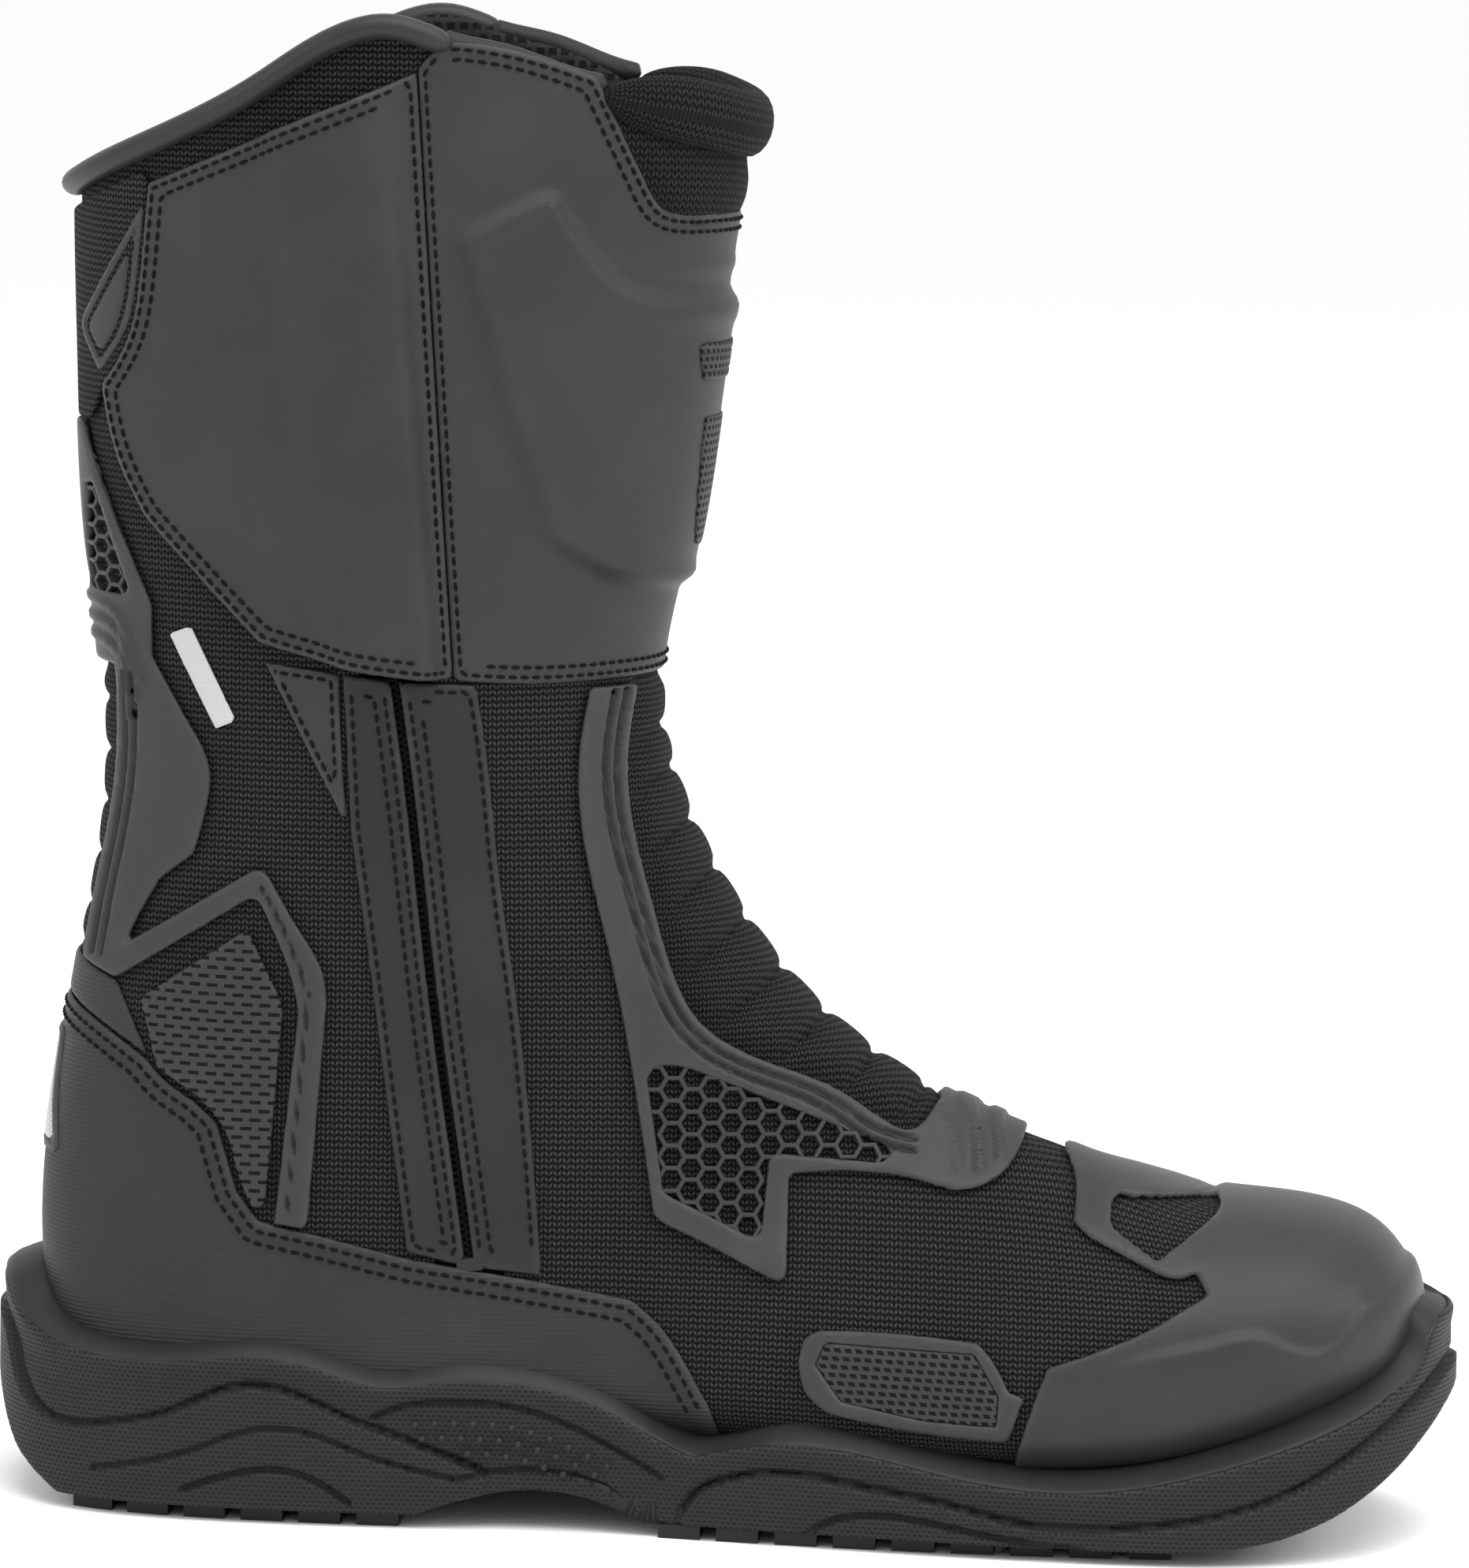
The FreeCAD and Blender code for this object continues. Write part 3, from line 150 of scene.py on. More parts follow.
# cloth coordinates: each ring is unrolled, starting from its widest place
walked = np.concatenate([np.zeros((ROWS, 1)), np.cumsum(np.linalg.norm(np.diff(near_side, axis=1), axis=2), 1)], 1)
widest = np.argmin(near_side[..., 1], 1)
lean = near_side[:, -1] - near_side[:, 0]
lean /= np.linalg.norm(lean, axis=1, keepdims=True)
start = near_side[np.arange(ROWS), widest]
along = walked - walked[np.arange(ROWS), widest][:, None]
unrolled = np.stack([start[:, None, 0] + lean[:, None, 0] * along, start[:, None, 2] + lean[:, None, 2] * along], -1)
LAST = Skin(whole, np.concatenate([unrolled, unrolled[:, -2:0:-1]], 1), True)
middle_out = (LAST.normal[ROWS // 3, HALF // 2] * [0, -1, 0]).sum()
if middle_out < 0:
    LAST.normal *= -1
print("last", whole.reshape(-1, 3).min(0).round(1), whole.reshape(-1, 3).max(0).round(1), "outward", middle_out > 0)

# %% [markdown]
# Panels are cut from the surface along their outlines, like leather along a pattern. The grid's
# squares are split exactly where the distance to the outline reaches given levels: nought for the
# cut edge, then two small steps so that the edge can be rounded. The same splitting makes crisp
# grooves. After that the Solidify modifier gives the panel its thickness.

# %% Outlines as fine lines
def drawn(outline, closed=True):
    """a pattern's line: a pair is a straight run to a corner, a list is a smooth curve"""
    line = [np.array(outline[0], float)]
    for step in outline[1:] + ([outline[0]] if closed else []):
        if isinstance(step, list):
            through = np.array([line[-1]] + [np.array(p, float) for p in step])
            knots = np.r_[0, np.cumsum(np.linalg.norm(np.diff(through, axis=0), axis=1))]
            line.extend(curve_through(knots, through, np.linspace(0, knots[-1], 7 * len(step) + 1))[1:])
        elif np.linalg.norm(np.array(step, float) - line[-1]) > 1e-6:
            line.append(np.array(step, float))
    return np.array(line)


def distance_to(line, x, z):
    """how far each point is from a line of straight runs, seen from the side"""
    best = np.full(x.shape, 1e9)
    for (ax, az), (bx, bz) in zip(line, line[1:]):
        dx, dz = bx - ax, bz - az
        t = np.clip(((x - ax) * dx + (z - az) * dz) / max(dx * dx + dz * dz, 1e-9), 0, 1)
        best = np.minimum(best, (x - ax - t * dx) ** 2 + (z - az - t * dz) ** 2)
    return np.sqrt(best)


def depth_in(line, x, z):
    """distance to the outline, positive inside it and negative outside it"""
    inside = np.zeros(x.shape, bool)
    for (ax, az), (bx, bz) in zip(line, line[1:]):
        if az != bz:
            inside ^= ((az > z) != (bz > z)) & (x < (bx - ax) * (z - az) / (bz - az) + ax)
    return np.where(inside, 1, -1) * distance_to(line, x, z)


# %% Splitting squares at a level
SNAP = 0.12


def split_at(rows, squares, shapes, column, level, keep_low):
    """cuts squares and shapes along the line where a column of rows passes the level"""
    value = rows[:, column]
    value[np.abs(value - level) < SNAP] = level
    corner = value[squares]
    low, high = (corner < level).any(1), (corner > level).any(1)
    kept = squares[~low | (~high & keep_low)]
    added, cut, result = [], {}, []
    for shape in [list(s) for s in squares[low & high]] + shapes:
        above, below = [], []
        for a, b in zip(shape, shape[1:] + shape[:1]):
            va, vb = value[a] - level, value[b] - level
            if va >= 0:
                above.append(a)
            if va <= 0:
                below.append(a)
            if va * vb < 0:
                key = (min(a, b), max(a, b))
                if key not in cut:
                    cut[key] = len(rows) + len(added)
                    t = va / (va - vb)
                    added.append(rows[a] * (1 - t) + rows[b] * t)
                above.append(cut[key])
                below.append(cut[key])
        if len(above) > 2 and any(i >= len(rows) or value[i] > level for i in above):
            result.append(above)
        if keep_low and len(below) > 2 and any(i >= len(rows) or value[i] < level for i in below):
            if below != above:
                result.append(below)
    return (np.vstack([rows] + added) if added else rows), kept, result


# %% Lines on the surface where a distance has one value, for rows of stitches
def rows_at(rows, squares, column, level):
    """polylines of interpolated rows along the level"""
    value = rows[:, column]
    corner = value[squares] >= level
    mixed = squares[corner.any(1) & ~corner.all(1)]
    place, links = {}, {}
    for square in mixed:
        found = []
        for a, b in zip(square, np.roll(square, -1)):
            if (value[a] >= level) != (value[b] >= level):
                key = (min(a, b), max(a, b))
                t = (level - value[a]) / (value[b] - value[a])
                place[key] = rows[a] * (1 - t) + rows[b] * t
                found.append(key)
        if len(found) == 2:
            links.setdefault(found[0], []).append(found[1])
            links.setdefault(found[1], []).append(found[0])
    lines, seen = [], set()
    for begin in sorted(links, key=lambda k: len(links[k])):
        if begin in seen:
            continue
        line, here = [begin], begin
        seen.add(begin)
        while True:
            onward = [k for k in links[here] if k not in seen]
            if not onward:
                break
            here = onward[0]
            seen.add(here)
            line.append(here)
        lines.append(np.array([place[k] for k in line]))
    return lines


# %% [markdown]
# A stitch is a short rounded bar of thread. We model one with a sphere primitive and copy it along
# the rows that each panel asks for. Stitches are collected by how they move and made into one mesh
# at the end.

# %% One stitch
bpy.ops.mesh.primitive_uv_sphere_add(segments=6, ring_count=4, radius=1)
one = bpy.context.object
STITCH_POINTS = np.array([v.co[:] for v in one.data.vertices])
STITCH_FACES = [tuple(p.vertices) for p in one.data.polygons]
bpy.data.objects.remove(one)
STITCH_POINTS = STITCH_POINTS[:, [2, 0, 1]]      # its poles point along the row
STITCH_LENGTH, STITCH_WIDTH, STITCH_HEIGHT, STITCH_PITCH = 2.1, 0.95, 0.5, 2.7
thread = {}                                      # group of stitches: list of point arrays


def sew(group, line, height, wanted=None):
    """lays stitches along a polyline of rows, at a height over the skin"""
    points = line[:, :3] + line[:, 3:6] * height[:, None]
    walked = np.r_[0, np.cumsum(np.linalg.norm(np.diff(points, axis=0), axis=1))]
    count = int(walked[-1] // STITCH_PITCH)
    for i in range(count):
        s = (i + 0.5) * STITCH_PITCH
        at, ahead, out = (np.array([np.interp(v, walked, c) for c in cols.T]) for v, cols in
                          ((s, points), (s + 0.6, points), (s, line[:, 3:6])))
        if wanted is not None and not wanted(at[0], at[2]):
            continue
        forward = ahead - at
        length = np.linalg.norm(forward)
        if length < 0.1:
            continue
        forward /= length
        across = np.cross(out, forward)
        across /= np.linalg.norm(across)
        shape = (STITCH_POINTS[:, :1] * forward * STITCH_LENGTH / 2 + STITCH_POINTS[:, 1:2] * across * STITCH_WIDTH / 2
                 + STITCH_POINTS[:, 2:3] * np.cross(forward, across) * STITCH_HEIGHT)
        thread.setdefault(group, []).append(at + shape)


# %% [markdown]
# The ankle bends between the foot and the shaft. Everything that crosses the ankle uses one and the
# same bending zone, so neighbouring layers stay together. Pieces wholly above the zone ride on the
# shaft, and pieces wholly below it ride on the foot.

# %% Settling a piece on its body
ANKLE_LOW, ANKLE_HIGH = 0.096, 0.187


def settle(piece, material, replaces=(), body=None):
    """gives the piece its finish and its body"""
    if material is not None:
        piece.data.materials.clear()
        piece.data.materials.append(material)
    heights = [v.co.z for v in piece.data.vertices]
    if body is None and min(heights) >= ANKLE_HIGH:
        body = "shaft"
    if body is None and max(heights) <= ANKLE_LOW:
        body = "foot"
    if body is None:
        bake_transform(piece)
    else:
        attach(piece, body)
    if replaces:
        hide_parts(*replaces)
    triangles = sum(len(p.vertices) - 2 for p in piece.data.polygons)
    print(f"{piece.name:24s} {triangles:7d} triangles  {body or 'foot to shaft'}")
    return piece


def apply_all(piece):
    """applies the piece's modifiers in their order"""
    bpy.ops.object.select_all(action="DESELECT")
    piece.select_set(True)
    bpy.context.view_layer.objects.active = piece
    for modifier in list(piece.modifiers):
        bpy.ops.object.modifier_apply(modifier=modifier.name)
    piece.select_set(False)
    return piece


def mesh_piece(name, points, faces, cloth=None, rim=None, channel=None, smooth=True):
    """a new mesh object from points in millimetres"""
    mesh = bpy.data.meshes.new(name)
    mesh.from_pydata((np.asarray(points) * MM).tolist(), [], [list(map(int, f)) for f in faces])
    if smooth:
        mesh.polygons.foreach_set("use_smooth", [True] * len(mesh.polygons))
    if cloth is not None:
        layer = mesh.uv_layers.new(name="Cloth")
        index = np.zeros(len(mesh.loops), int)
        mesh.loops.foreach_get("vertex_index", index)
        layer.data.foreach_set("uv", (cloth[index] * MM).ravel())
    if rim is not None:
        mesh.attributes.new("rim", "FLOAT", "POINT").data.foreach_set("value", rim.astype(np.float32))
    if channel is not None:
        mesh.attributes.new("channel", "FLOAT", "POINT").data.foreach_set("value", channel.astype(np.float32))
    mesh.update()
    piece = bpy.data.objects.new(name, mesh)
    bpy.context.scene.collection.objects.link(piece)
    return piece


def tidy_normals(piece):
    """turns the faces of a closed piece outwards"""
    bpy.ops.object.select_all(action="DESELECT")
    piece.select_set(True)
    bpy.context.view_layer.objects.active = piece
    bpy.ops.object.mode_set(mode="EDIT")
    bpy.ops.mesh.select_all(action="SELECT")
    bpy.ops.mesh.remove_doubles(threshold=0.00001)
    bpy.ops.mesh.normals_make_consistent(inside=False)
    bpy.ops.object.mode_set(mode="OBJECT")
    return piece


# %% Cutting a panel
def rounded(depth, drop, radius=1.0):
    """how much the surface falls towards a cut edge"""
    t = 1 - np.clip(depth / radius, 0, 1)
    return drop * (1 - np.sqrt(1 - t * t))


def panel(name, outline, out, thick, side="both", windows=(), within=(), drop=None, lines=(), shape=None,
          stitches=(), group="upper", skin=LAST, step=1, steps=(0.3, 1.0)):
    """a panel of the skin. lines: (path, width, depth) grooves, a negative depth for a ridge.
    shape: more height from (x, z, depth, far). stitches: (depth from the edge, which points)."""
    total, count = skin.points.shape[:2]
    span = {"near": range(0, HALF), "far": range(HALF, 2 * HALF), "both": range(0, count if skin.closed else count - 1)}[side]
    columns = np.arange(span.start, span.stop + 1, step) % count
    grid = [a[::step][:, columns] for a in (skin.points, skin.normal, skin.cloth)]
    x, z = grid[0][..., 0], grid[0][..., 2]
    edge = drawn(outline)
    depth = np.full(x.shape, -9.0)
    close = (x > edge[:, 0].min() - 4) & (x < edge[:, 0].max() + 4) & (z > edge[:, 1].min() - 4) & (z < edge[:, 1].max() + 4)
    depth[close] = depth_in(edge, x[close], z[close])
    for other in within:
        depth[close] = np.minimum(depth[close], depth_in(drawn(other), x[close], z[close]))
    for other in windows:
        depth[close] = np.minimum(depth[close], -depth_in(drawn(other), x[close], z[close]))
    fields = [depth]
    for path, width, _ in lines:
        field = np.full(x.shape, 99.0)
        field[close] = distance_to(drawn(path, False), x[close], z[close])
        fields.append(field)
    rows = np.concatenate([a.reshape(-1, a.shape[-1]) for a in grid] + [f.reshape(-1, 1) for f in fields], 1)
    i, j = np.meshgrid(np.arange(x.shape[0] - 1), np.arange(x.shape[1] - 1), indexing="ij")
    a = (i * x.shape[1] + j).ravel()
    w = x.shape[1]
    squares = np.stack([a, a + w, a + w + 1, a + 1], 1)
    squares = squares[(rows[squares, 8] > 0).any(1)]
    drop = min(0.7, thick * 0.6) if drop is None else drop

    def height(r):
        h = out - rounded(r[:, 8], drop)
        for k, (_, width, deep) in enumerate(lines):
            h = h - deep * (1 - soft(r[:, 9 + k], width * 0.25, width * 0.6))
        if shape is not None:
            h = h + shape(r[:, 0], r[:, 2], r[:, 8], r[:, 1] > 0)
        return h

    for away, wanted in stitches:
        for line in rows_at(rows, squares, 8, away):
            if len(line) > 3:
                sew(group, line, height(line) + 0.12, wanted)
    rows, squares, shapes = split_at(rows, squares, [], 8, 0.0, False)
    for level in steps if drop > 0 else ():
        rows, squares, shapes = split_at(rows, squares, shapes, 8, level, True)
    for k, (_, width, _) in enumerate(lines):
        for level in (width * 0.25, width * 0.6):
            rows, squares, shapes = split_at(rows, squares, shapes, 9 + k, level, True)
    faces = squares.tolist() + shapes
    used = np.unique([v for f in faces for v in f])
    place = np.full(len(rows), -1)
    place[used] = np.arange(len(used))
    rows = rows[used]
    faces = [[int(place[v]) for v in f] for f in faces]
    points = rows[:, :3] + rows[:, 3:6] * height(rows)[:, None]
    # painted shade: the grooves' mask, kept as the channel attribute, darkens the grooves' colour in the finishes
    channel = np.zeros(len(rows))
    for k, (_, width, deep) in enumerate(lines):
        if deep > 0:
            channel = np.maximum(channel, 1 - soft(rows[:, 9 + k], width * 0.25, width * 0.6))
    piece = mesh_piece(name, points, faces, rows[:, 6:8], np.exp(-np.maximum(rows[:, 8], 0) / 0.9), channel)
    bpy.ops.object.select_all(action="DESELECT")
    piece.select_set(True)
    bpy.context.view_layer.objects.active = piece
    bpy.ops.object.mode_set(mode="EDIT")
    bpy.ops.mesh.select_all(action="SELECT")
    bpy.ops.mesh.remove_doubles(threshold=0.00006)
    bpy.ops.mesh.dissolve_degenerate(threshold=0.00003)
    bpy.ops.object.mode_set(mode="OBJECT")
    outward = np.array([piece.data.polygons[len(piece.data.polygons) // 2].normal[:]])
    first = piece.data.polygons[len(piece.data.polygons) // 2]
    near_row = np.argmin(((rows[:, :3] * MM - np.array(first.center[:])) ** 2).sum(1))
    if (outward @ rows[near_row, 3:6])[0] < 0:
        piece.data.flip_normals()
    wall = piece.modifiers.new("Thickness", "SOLIDIFY")
    wall.thickness, wall.offset, wall.use_rim = thick * MM, -1, True
    return apply_all(piece)

# %% [markdown]
# Now the finishes. All are matt black and dark grey, so what tells them apart is texture: leather has
# a fine uneven grain, the moulded parts are smooth and a little lighter, the cloth is a coarse knit
# of small chevrons, and the sole has a fine file-cut pattern. Grain, chevrons, slots, and worn edges
# with painted shade in the grooves are used by several finishes, so each is a node group that gives out only values.

# %% A short way to add nodes
class Net:
    """nodes of a material or a group, added and joined in one call"""

    def __init__(self, tree):
        self.tree = tree

    def add(self, kind, settings=None, **sockets):
        node = self.tree.nodes.new(kind)
        for key, value in (settings or {}).items():
            setattr(node, key, value)
        for key, value in sockets.items():
            socket = node.inputs[int(key[1:]) if key[1:].isdigit() else key.replace("_", " ")]
            if isinstance(value, bpy.types.NodeSocket):
                self.tree.links.new(value, socket)
            else:
                socket.default_value = value
        return node

    def math(self, operation, a, b=0.0, clamp=False):
        return self.add("ShaderNodeMath", {"operation": operation, "use_clamp": clamp}, i0=a, i1=b).outputs[0]

    def spread(self, value, low, high, to_low=0.0, to_high=1.0):
        node = self.add("ShaderNodeMapRange", {"clamp": True}, Value=value)
        for key, number in (("From Min", low), ("From Max", high), ("To Min", to_low), ("To Max", to_high)):
            node.inputs[key].default_value = number
        return node.outputs[0]

    def mix(self, share, a, b):
        node = self.add("ShaderNodeMix", {"data_type": "RGBA"}, i0=share)
        for index, value in ((6, a), (7, b)):
            if isinstance(value, bpy.types.NodeSocket):
                self.tree.links.new(value, node.inputs[index])
            else:
                node.inputs[index].default_value = (*value, 1)
        return node.outputs[2]


def new_group(name, inputs, outputs):
    """a node group with number inputs (name, default) and number outputs"""
    tree = bpy.data.node_groups.new(name, "ShaderNodeTree")
    for key, default in inputs:
        tree.interface.new_socket(key, in_out="INPUT", socket_type="NodeSocketFloat").default_value = default
    for key in outputs:
        tree.interface.new_socket(key, in_out="OUTPUT", socket_type="NodeSocketFloat")
    net = Net(tree)
    return net, net.add("NodeGroupInput").outputs, net.add("NodeGroupOutput").inputs


# %% Grain: fine cells with soft patches
net, into, out = new_group("grain", [("Size", 900.0), ("Patch", 30.0)], ["Height", "Patches"])
place = net.add("ShaderNodeTexCoord").outputs["Object"]
cells = net.add("ShaderNodeTexVoronoi", {"feature": "SMOOTH_F1"}, Vector=place, Scale=into["Size"])
fine = net.add("ShaderNodeTexNoise", Vector=place, Scale=into["Size"], Detail=3.0)
patch = net.add("ShaderNodeTexNoise", Vector=place, Scale=into["Patch"], Detail=4.0)
net.tree.links.new(net.math("ADD", cells.outputs["Distance"], fine.outputs[0]), out["Height"])
net.tree.links.new(net.spread(patch.outputs[0], 0.35, 0.65), out["Patches"])

# %% Worn edges and painted groove shade: the wear is strongest at a panel's cut edge and broken up by noise, and the grooves get painted shade
net, into, out = new_group("edge wear and groove shade", [("Strength", 1.0)], ["Wear", "Groove Shade"])
# painted shade: the grooves' mask, passed out so the finishes darken the grooves' colour
channel = net.add("ShaderNodeAttribute", {"attribute_name": "channel"}).outputs["Fac"]
net.tree.links.new(net.math("MULTIPLY", channel, 0.85), out["Groove Shade"])
rim = net.add("ShaderNodeAttribute", {"attribute_name": "rim"}).outputs["Fac"]
place = net.add("ShaderNodeTexCoord").outputs["Object"]
broken = net.spread(net.add("ShaderNodeTexNoise", Vector=place, Scale=160.0, Detail=5.0).outputs[0], 0.35, 0.7, 0.35, 1.0)
net.tree.links.new(net.math("MULTIPLY", net.math("MULTIPLY", rim, broken), into["Strength"]), out["Wear"])

# %% Chevrons: a knit of small V shapes in columns, following the cloth coordinates
net, into, out = new_group("chevrons", [("Across", 1.6), ("Along", 1.15), ("Slope", 0.9)], ["Height", "Yarn"])
cloth = net.add("ShaderNodeSeparateXYZ", Vector=net.add("ShaderNodeUVMap", {"uv_map": "Cloth"}).outputs[0]).outputs
u = net.math("DIVIDE", net.math("MULTIPLY", cloth[0], 1000.0), into["Across"])
v = net.math("DIVIDE", net.math("MULTIPLY", cloth[1], 1000.0), into["Along"])
fold = net.math("PINGPONG", u, 0.5)
leg = net.math("PINGPONG", net.math("ADD", v, net.math("MULTIPLY", fold, into["Slope"])), 0.5)
across = net.spread(net.math("PINGPONG", u, 0.25), 0.0, 0.16)
yarn = net.math("MULTIPLY", net.spread(leg, 0.06, 0.42), across)
net.tree.links.new(yarn, out["Yarn"])
net.tree.links.new(yarn, out["Height"])

# %% Slots: rows of short dashes, every other row moved by half a step
net, into, out = new_group("slots", [("Across", 4.0), ("Along", 1.9), ("Lean", 0.0), ("Fill", 0.3)], ["Slot"])
cloth = net.add("ShaderNodeSeparateXYZ", Vector=net.add("ShaderNodeUVMap", {"uv_map": "Cloth"}).outputs[0]).outputs
row = net.math("DIVIDE", net.math("MULTIPLY", cloth[1], 1000.0), into["Along"])
shift = net.math("MULTIPLY", net.math("MODULO", net.math("FLOOR", row), 2.0), 0.5)
u = net.math("ADD", net.math("DIVIDE", net.math("MULTIPLY", cloth[0], 1000.0), into["Across"]), shift)
u = net.math("ADD", u, net.math("MULTIPLY", row, into["Lean"]))
along_slot = net.spread(net.math("PINGPONG", u, 0.5), 0.18, 0.22)
over_slot = net.math("GREATER_THAN", net.math("PINGPONG", row, 0.5), net.math("SUBTRACT", 0.5, into["Fill"]))
net.tree.links.new(net.math("MULTIPLY", along_slot, over_slot), out["Slot"])


# %% Starting a finish
def new_finish(name, roughness, sheen=0.0, coat=0.0, metallic=0.0, specular=0.5):
    """a material with its shader; numbers that don't change over the surface sit on the shader's own sockets"""
    material = bpy.data.materials.new(name)
    material.use_nodes = True
    net = Net(material.node_tree)
    shader = material.node_tree.nodes["Principled BSDF"]
    shader.inputs["Roughness"].default_value = roughness
    shader.inputs["Sheen Weight"].default_value = sheen
    shader.inputs["Sheen Roughness"].default_value = 0.4
    shader.inputs["Coat Weight"].default_value = coat
    shader.inputs["Metallic"].default_value = metallic
    shader.inputs["Specular IOR Level"].default_value = specular
    return material, net, shader.inputs


def group(net, name, **sockets):
    node = net.add("ShaderNodeGroup")
    node.node_tree = bpy.data.node_groups[name]
    for key, value in sockets.items():
        node.inputs[key].default_value = value
    return node.outputs


def bumped(net, inputs, height, strength, distance):
    """joins a height to the shader's normal"""
    bump = net.add("ShaderNodeBump", Height=height)
    bump.inputs["Strength"].default_value = strength
    bump.inputs["Distance"].default_value = distance
    net.tree.links.new(bump.outputs[0], inputs["Normal"])


# %% Leather and moulded finishes
def grained(name, dark, light, worn, roughness, size, depth, wear=1.0, lines=0.0, coat=0.0):
    """grained surface with patches between two greys, worn edges, painted shade in its grooves and, if wanted, fine
    level lines
    """
    material, net, inputs = new_finish(name, roughness[0], coat=coat, specular=0.2)
    grain = group(net, "grain", Size=size)
    edge = group(net, "edge wear and groove shade", Strength=wear)
    colour = net.mix(edge["Wear"], net.mix(grain["Patches"], dark, light), worn)
    # painted shade: the grooves are darkened to a fifth of the dark grey
    colour = net.mix(edge["Groove Shade"], colour, [c * 0.2 for c in dark])
    net.tree.links.new(colour, inputs["Base Color"])
    net.tree.links.new(net.spread(grain["Patches"], 0, 1, roughness[0], roughness[1]), inputs["Roughness"])
    height = grain["Height"]
    if lines:
        place = net.add("ShaderNodeTexCoord").outputs["Object"]
        level = net.add("ShaderNodeTexWave", {"bands_direction": "Z"}, Vector=place, Scale=lines, Distortion=1.2,
                        Detail=2.0, Detail_Scale=0.6)
        height = net.math("ADD", net.math("MULTIPLY", height, 0.4), level.outputs["Fac"])
    bumped(net, inputs, height, 0.5, depth)
    return material


leather = grained("matt leather", (.021, .0215, .022), (.027, .0275, .028), (.042, .043, .044), (.42, .52), 1500, .00012)
heel_leather = grained("brushed heel leather", (.017, .0175, .018), (.022, .0225, .023), (.038, .039, .04), (.46, .56),
                       1100, .00016, lines=330)
moulded = grained("moulded guard", (.027, .0275, .0285), (.031, .0315, .0325), (.048, .049, .05), (.44, .5), 2600, .00005)
toe_shell = grained("toe shell", (.023, .0235, .0245), (.028, .0285, .0295), (.048, .049, .05), (.36, .44), 2200, .00006)
strip_leather = grained("zip edge leather", (.013, .013, .0135), (.018, .018, .0185), (.034, .034, .034), (.46, .56), 1500,
                        .00015)
roll_cover = grained("collar roll cover", (.019, .0195, .02), (.024, .0245, .025), (.04, .04, .04), (.36, .44), 1700,
                     .00008, wear=0.3)


# %% Cloth finishes
def knitted(name, gap, yarn, across, along, depth, slope=0.9, sheen=0.02, rough=0.75):
    """knit with dark gaps between its yarns"""
    material, net, inputs = new_finish(name, rough, sheen=sheen, specular=0.1)
    knit = group(net, "chevrons", Across=across, Along=along, Slope=slope)
    grain = group(net, "grain", Size=2500.0, Patch=22.0)
    light = net.mix(grain["Patches"], [c * 0.82 for c in yarn], yarn)
    net.tree.links.new(net.mix(knit["Yarn"], gap, light), inputs["Base Color"])
    net.tree.links.new(net.spread(knit["Yarn"], 0, 1, 0.95, rough - 0.12), inputs["Roughness"])
    bumped(net, inputs, net.math("ADD", knit["Height"], net.math("MULTIPLY", grain["Height"], 0.12)), 0.8, depth)
    return material


weave = knitted("coarse cloth", (.002, .002, .002), (.046, .046, .047), 1.9, 1.35, .0007)
stretch = knitted("stretch knit", (.002, .002, .002), (.034, .034, .035), 1.6, 1.2, .0006)
mesh_cloth = knitted("collar mesh", (.002, .002, .002), (.02, .02, .02), 1.9, 1.6, .0006, slope=1.3)
tape_cloth = knitted("zip tape", (.003, .003, .003), (.012, .012, .012), .7, .6, .0002)
thread_finish = knitted("thread", (.003, .003, .003), (.010, .010, .010), .35, .5, .0001)


# %% Slotted, dotted and cut finishes
def slotted(name, body, hole, across, along, lean, fill, depth, rough=0.55):
    """surface with rows of short recesses, worn edges and painted shade in its grooves"""
    material, net, inputs = new_finish(name, rough, specular=0.2)
    slot = group(net, "slots", Across=across, Along=along, Lean=lean, Fill=fill)["Slot"]
    grain = group(net, "grain", Size=2200.0)
    edge = group(net, "edge wear and groove shade")
    tone = net.mix(edge["Wear"], net.mix(grain["Patches"], [c * 0.9 for c in body], body), [c * 1.4 for c in body])
    # painted shade: the grooves are darkened to a fifth of the body colour
    tone = net.mix(edge["Groove Shade"], tone, [c * 0.2 for c in body])
    net.tree.links.new(net.mix(slot, tone, hole), inputs["Base Color"])
    net.tree.links.new(net.spread(slot, 0, 1, rough, 0.9), inputs["Roughness"])
    bumped(net, inputs, net.math("SUBTRACT", net.math("MULTIPLY", grain["Height"], 0.06), slot), 0.9, depth)
    return material


pierced_guard = slotted("pierced guard", (.028, .0285, .0295), (.002, .002, .002), 3.9, 1.9, 0.0, .2, .0008)
pierced_pad = slotted("pierced pad", (.028, .0285, .0295), (.003, .003, .003), 2.3, 1.7, .35, .26, .0006)
pierced_lining = slotted("pierced lining", (.012, .012, .012), (.001, .001, .001), 3.0, 2.6, 0.0, .3, .0006, 0.8)
rubber = slotted("sole rubber", (.017, .017, .0175), (.011, .011, .0115), 1.3, 1.0, 0.0, .25, .0003, 0.55)
smooth_rubber = grained("plain rubber", (.015, .015, .0155), (.02, .02, .0205), (.034, .034, .034), (.45, .52), 2000, .00006)
hook_tape = slotted("hook tape", (.02, .02, .02), (.005, .005, .005), 1.1, 1.1, 0.0, .3, .0006, 0.8)
board = slotted("fibre board", (.12, .085, .05), (.08, .055, .03), 2.5, 1.5, 0.3, .3, .0002, 0.8)
foam = slotted("stiffener sheet", (.02, .02, .02), (.012, .012, .012), 2.0, 2.0, 0.0, .3, .0002, 0.8)

# %% Metal, reflective strip and white label
steel, net, inputs = new_finish("dark steel", 0.35, metallic=1.0)
grain = group(net, "grain", Size=1400.0)
net.tree.links.new(net.mix(grain["Patches"], (.10, .10, .105), (.16, .16, .165)), inputs["Base Color"])
net.tree.links.new(net.spread(grain["Patches"], 0, 1, .3, .45), inputs["Roughness"])
bumped(net, inputs, grain["Height"], 0.2, .00004)

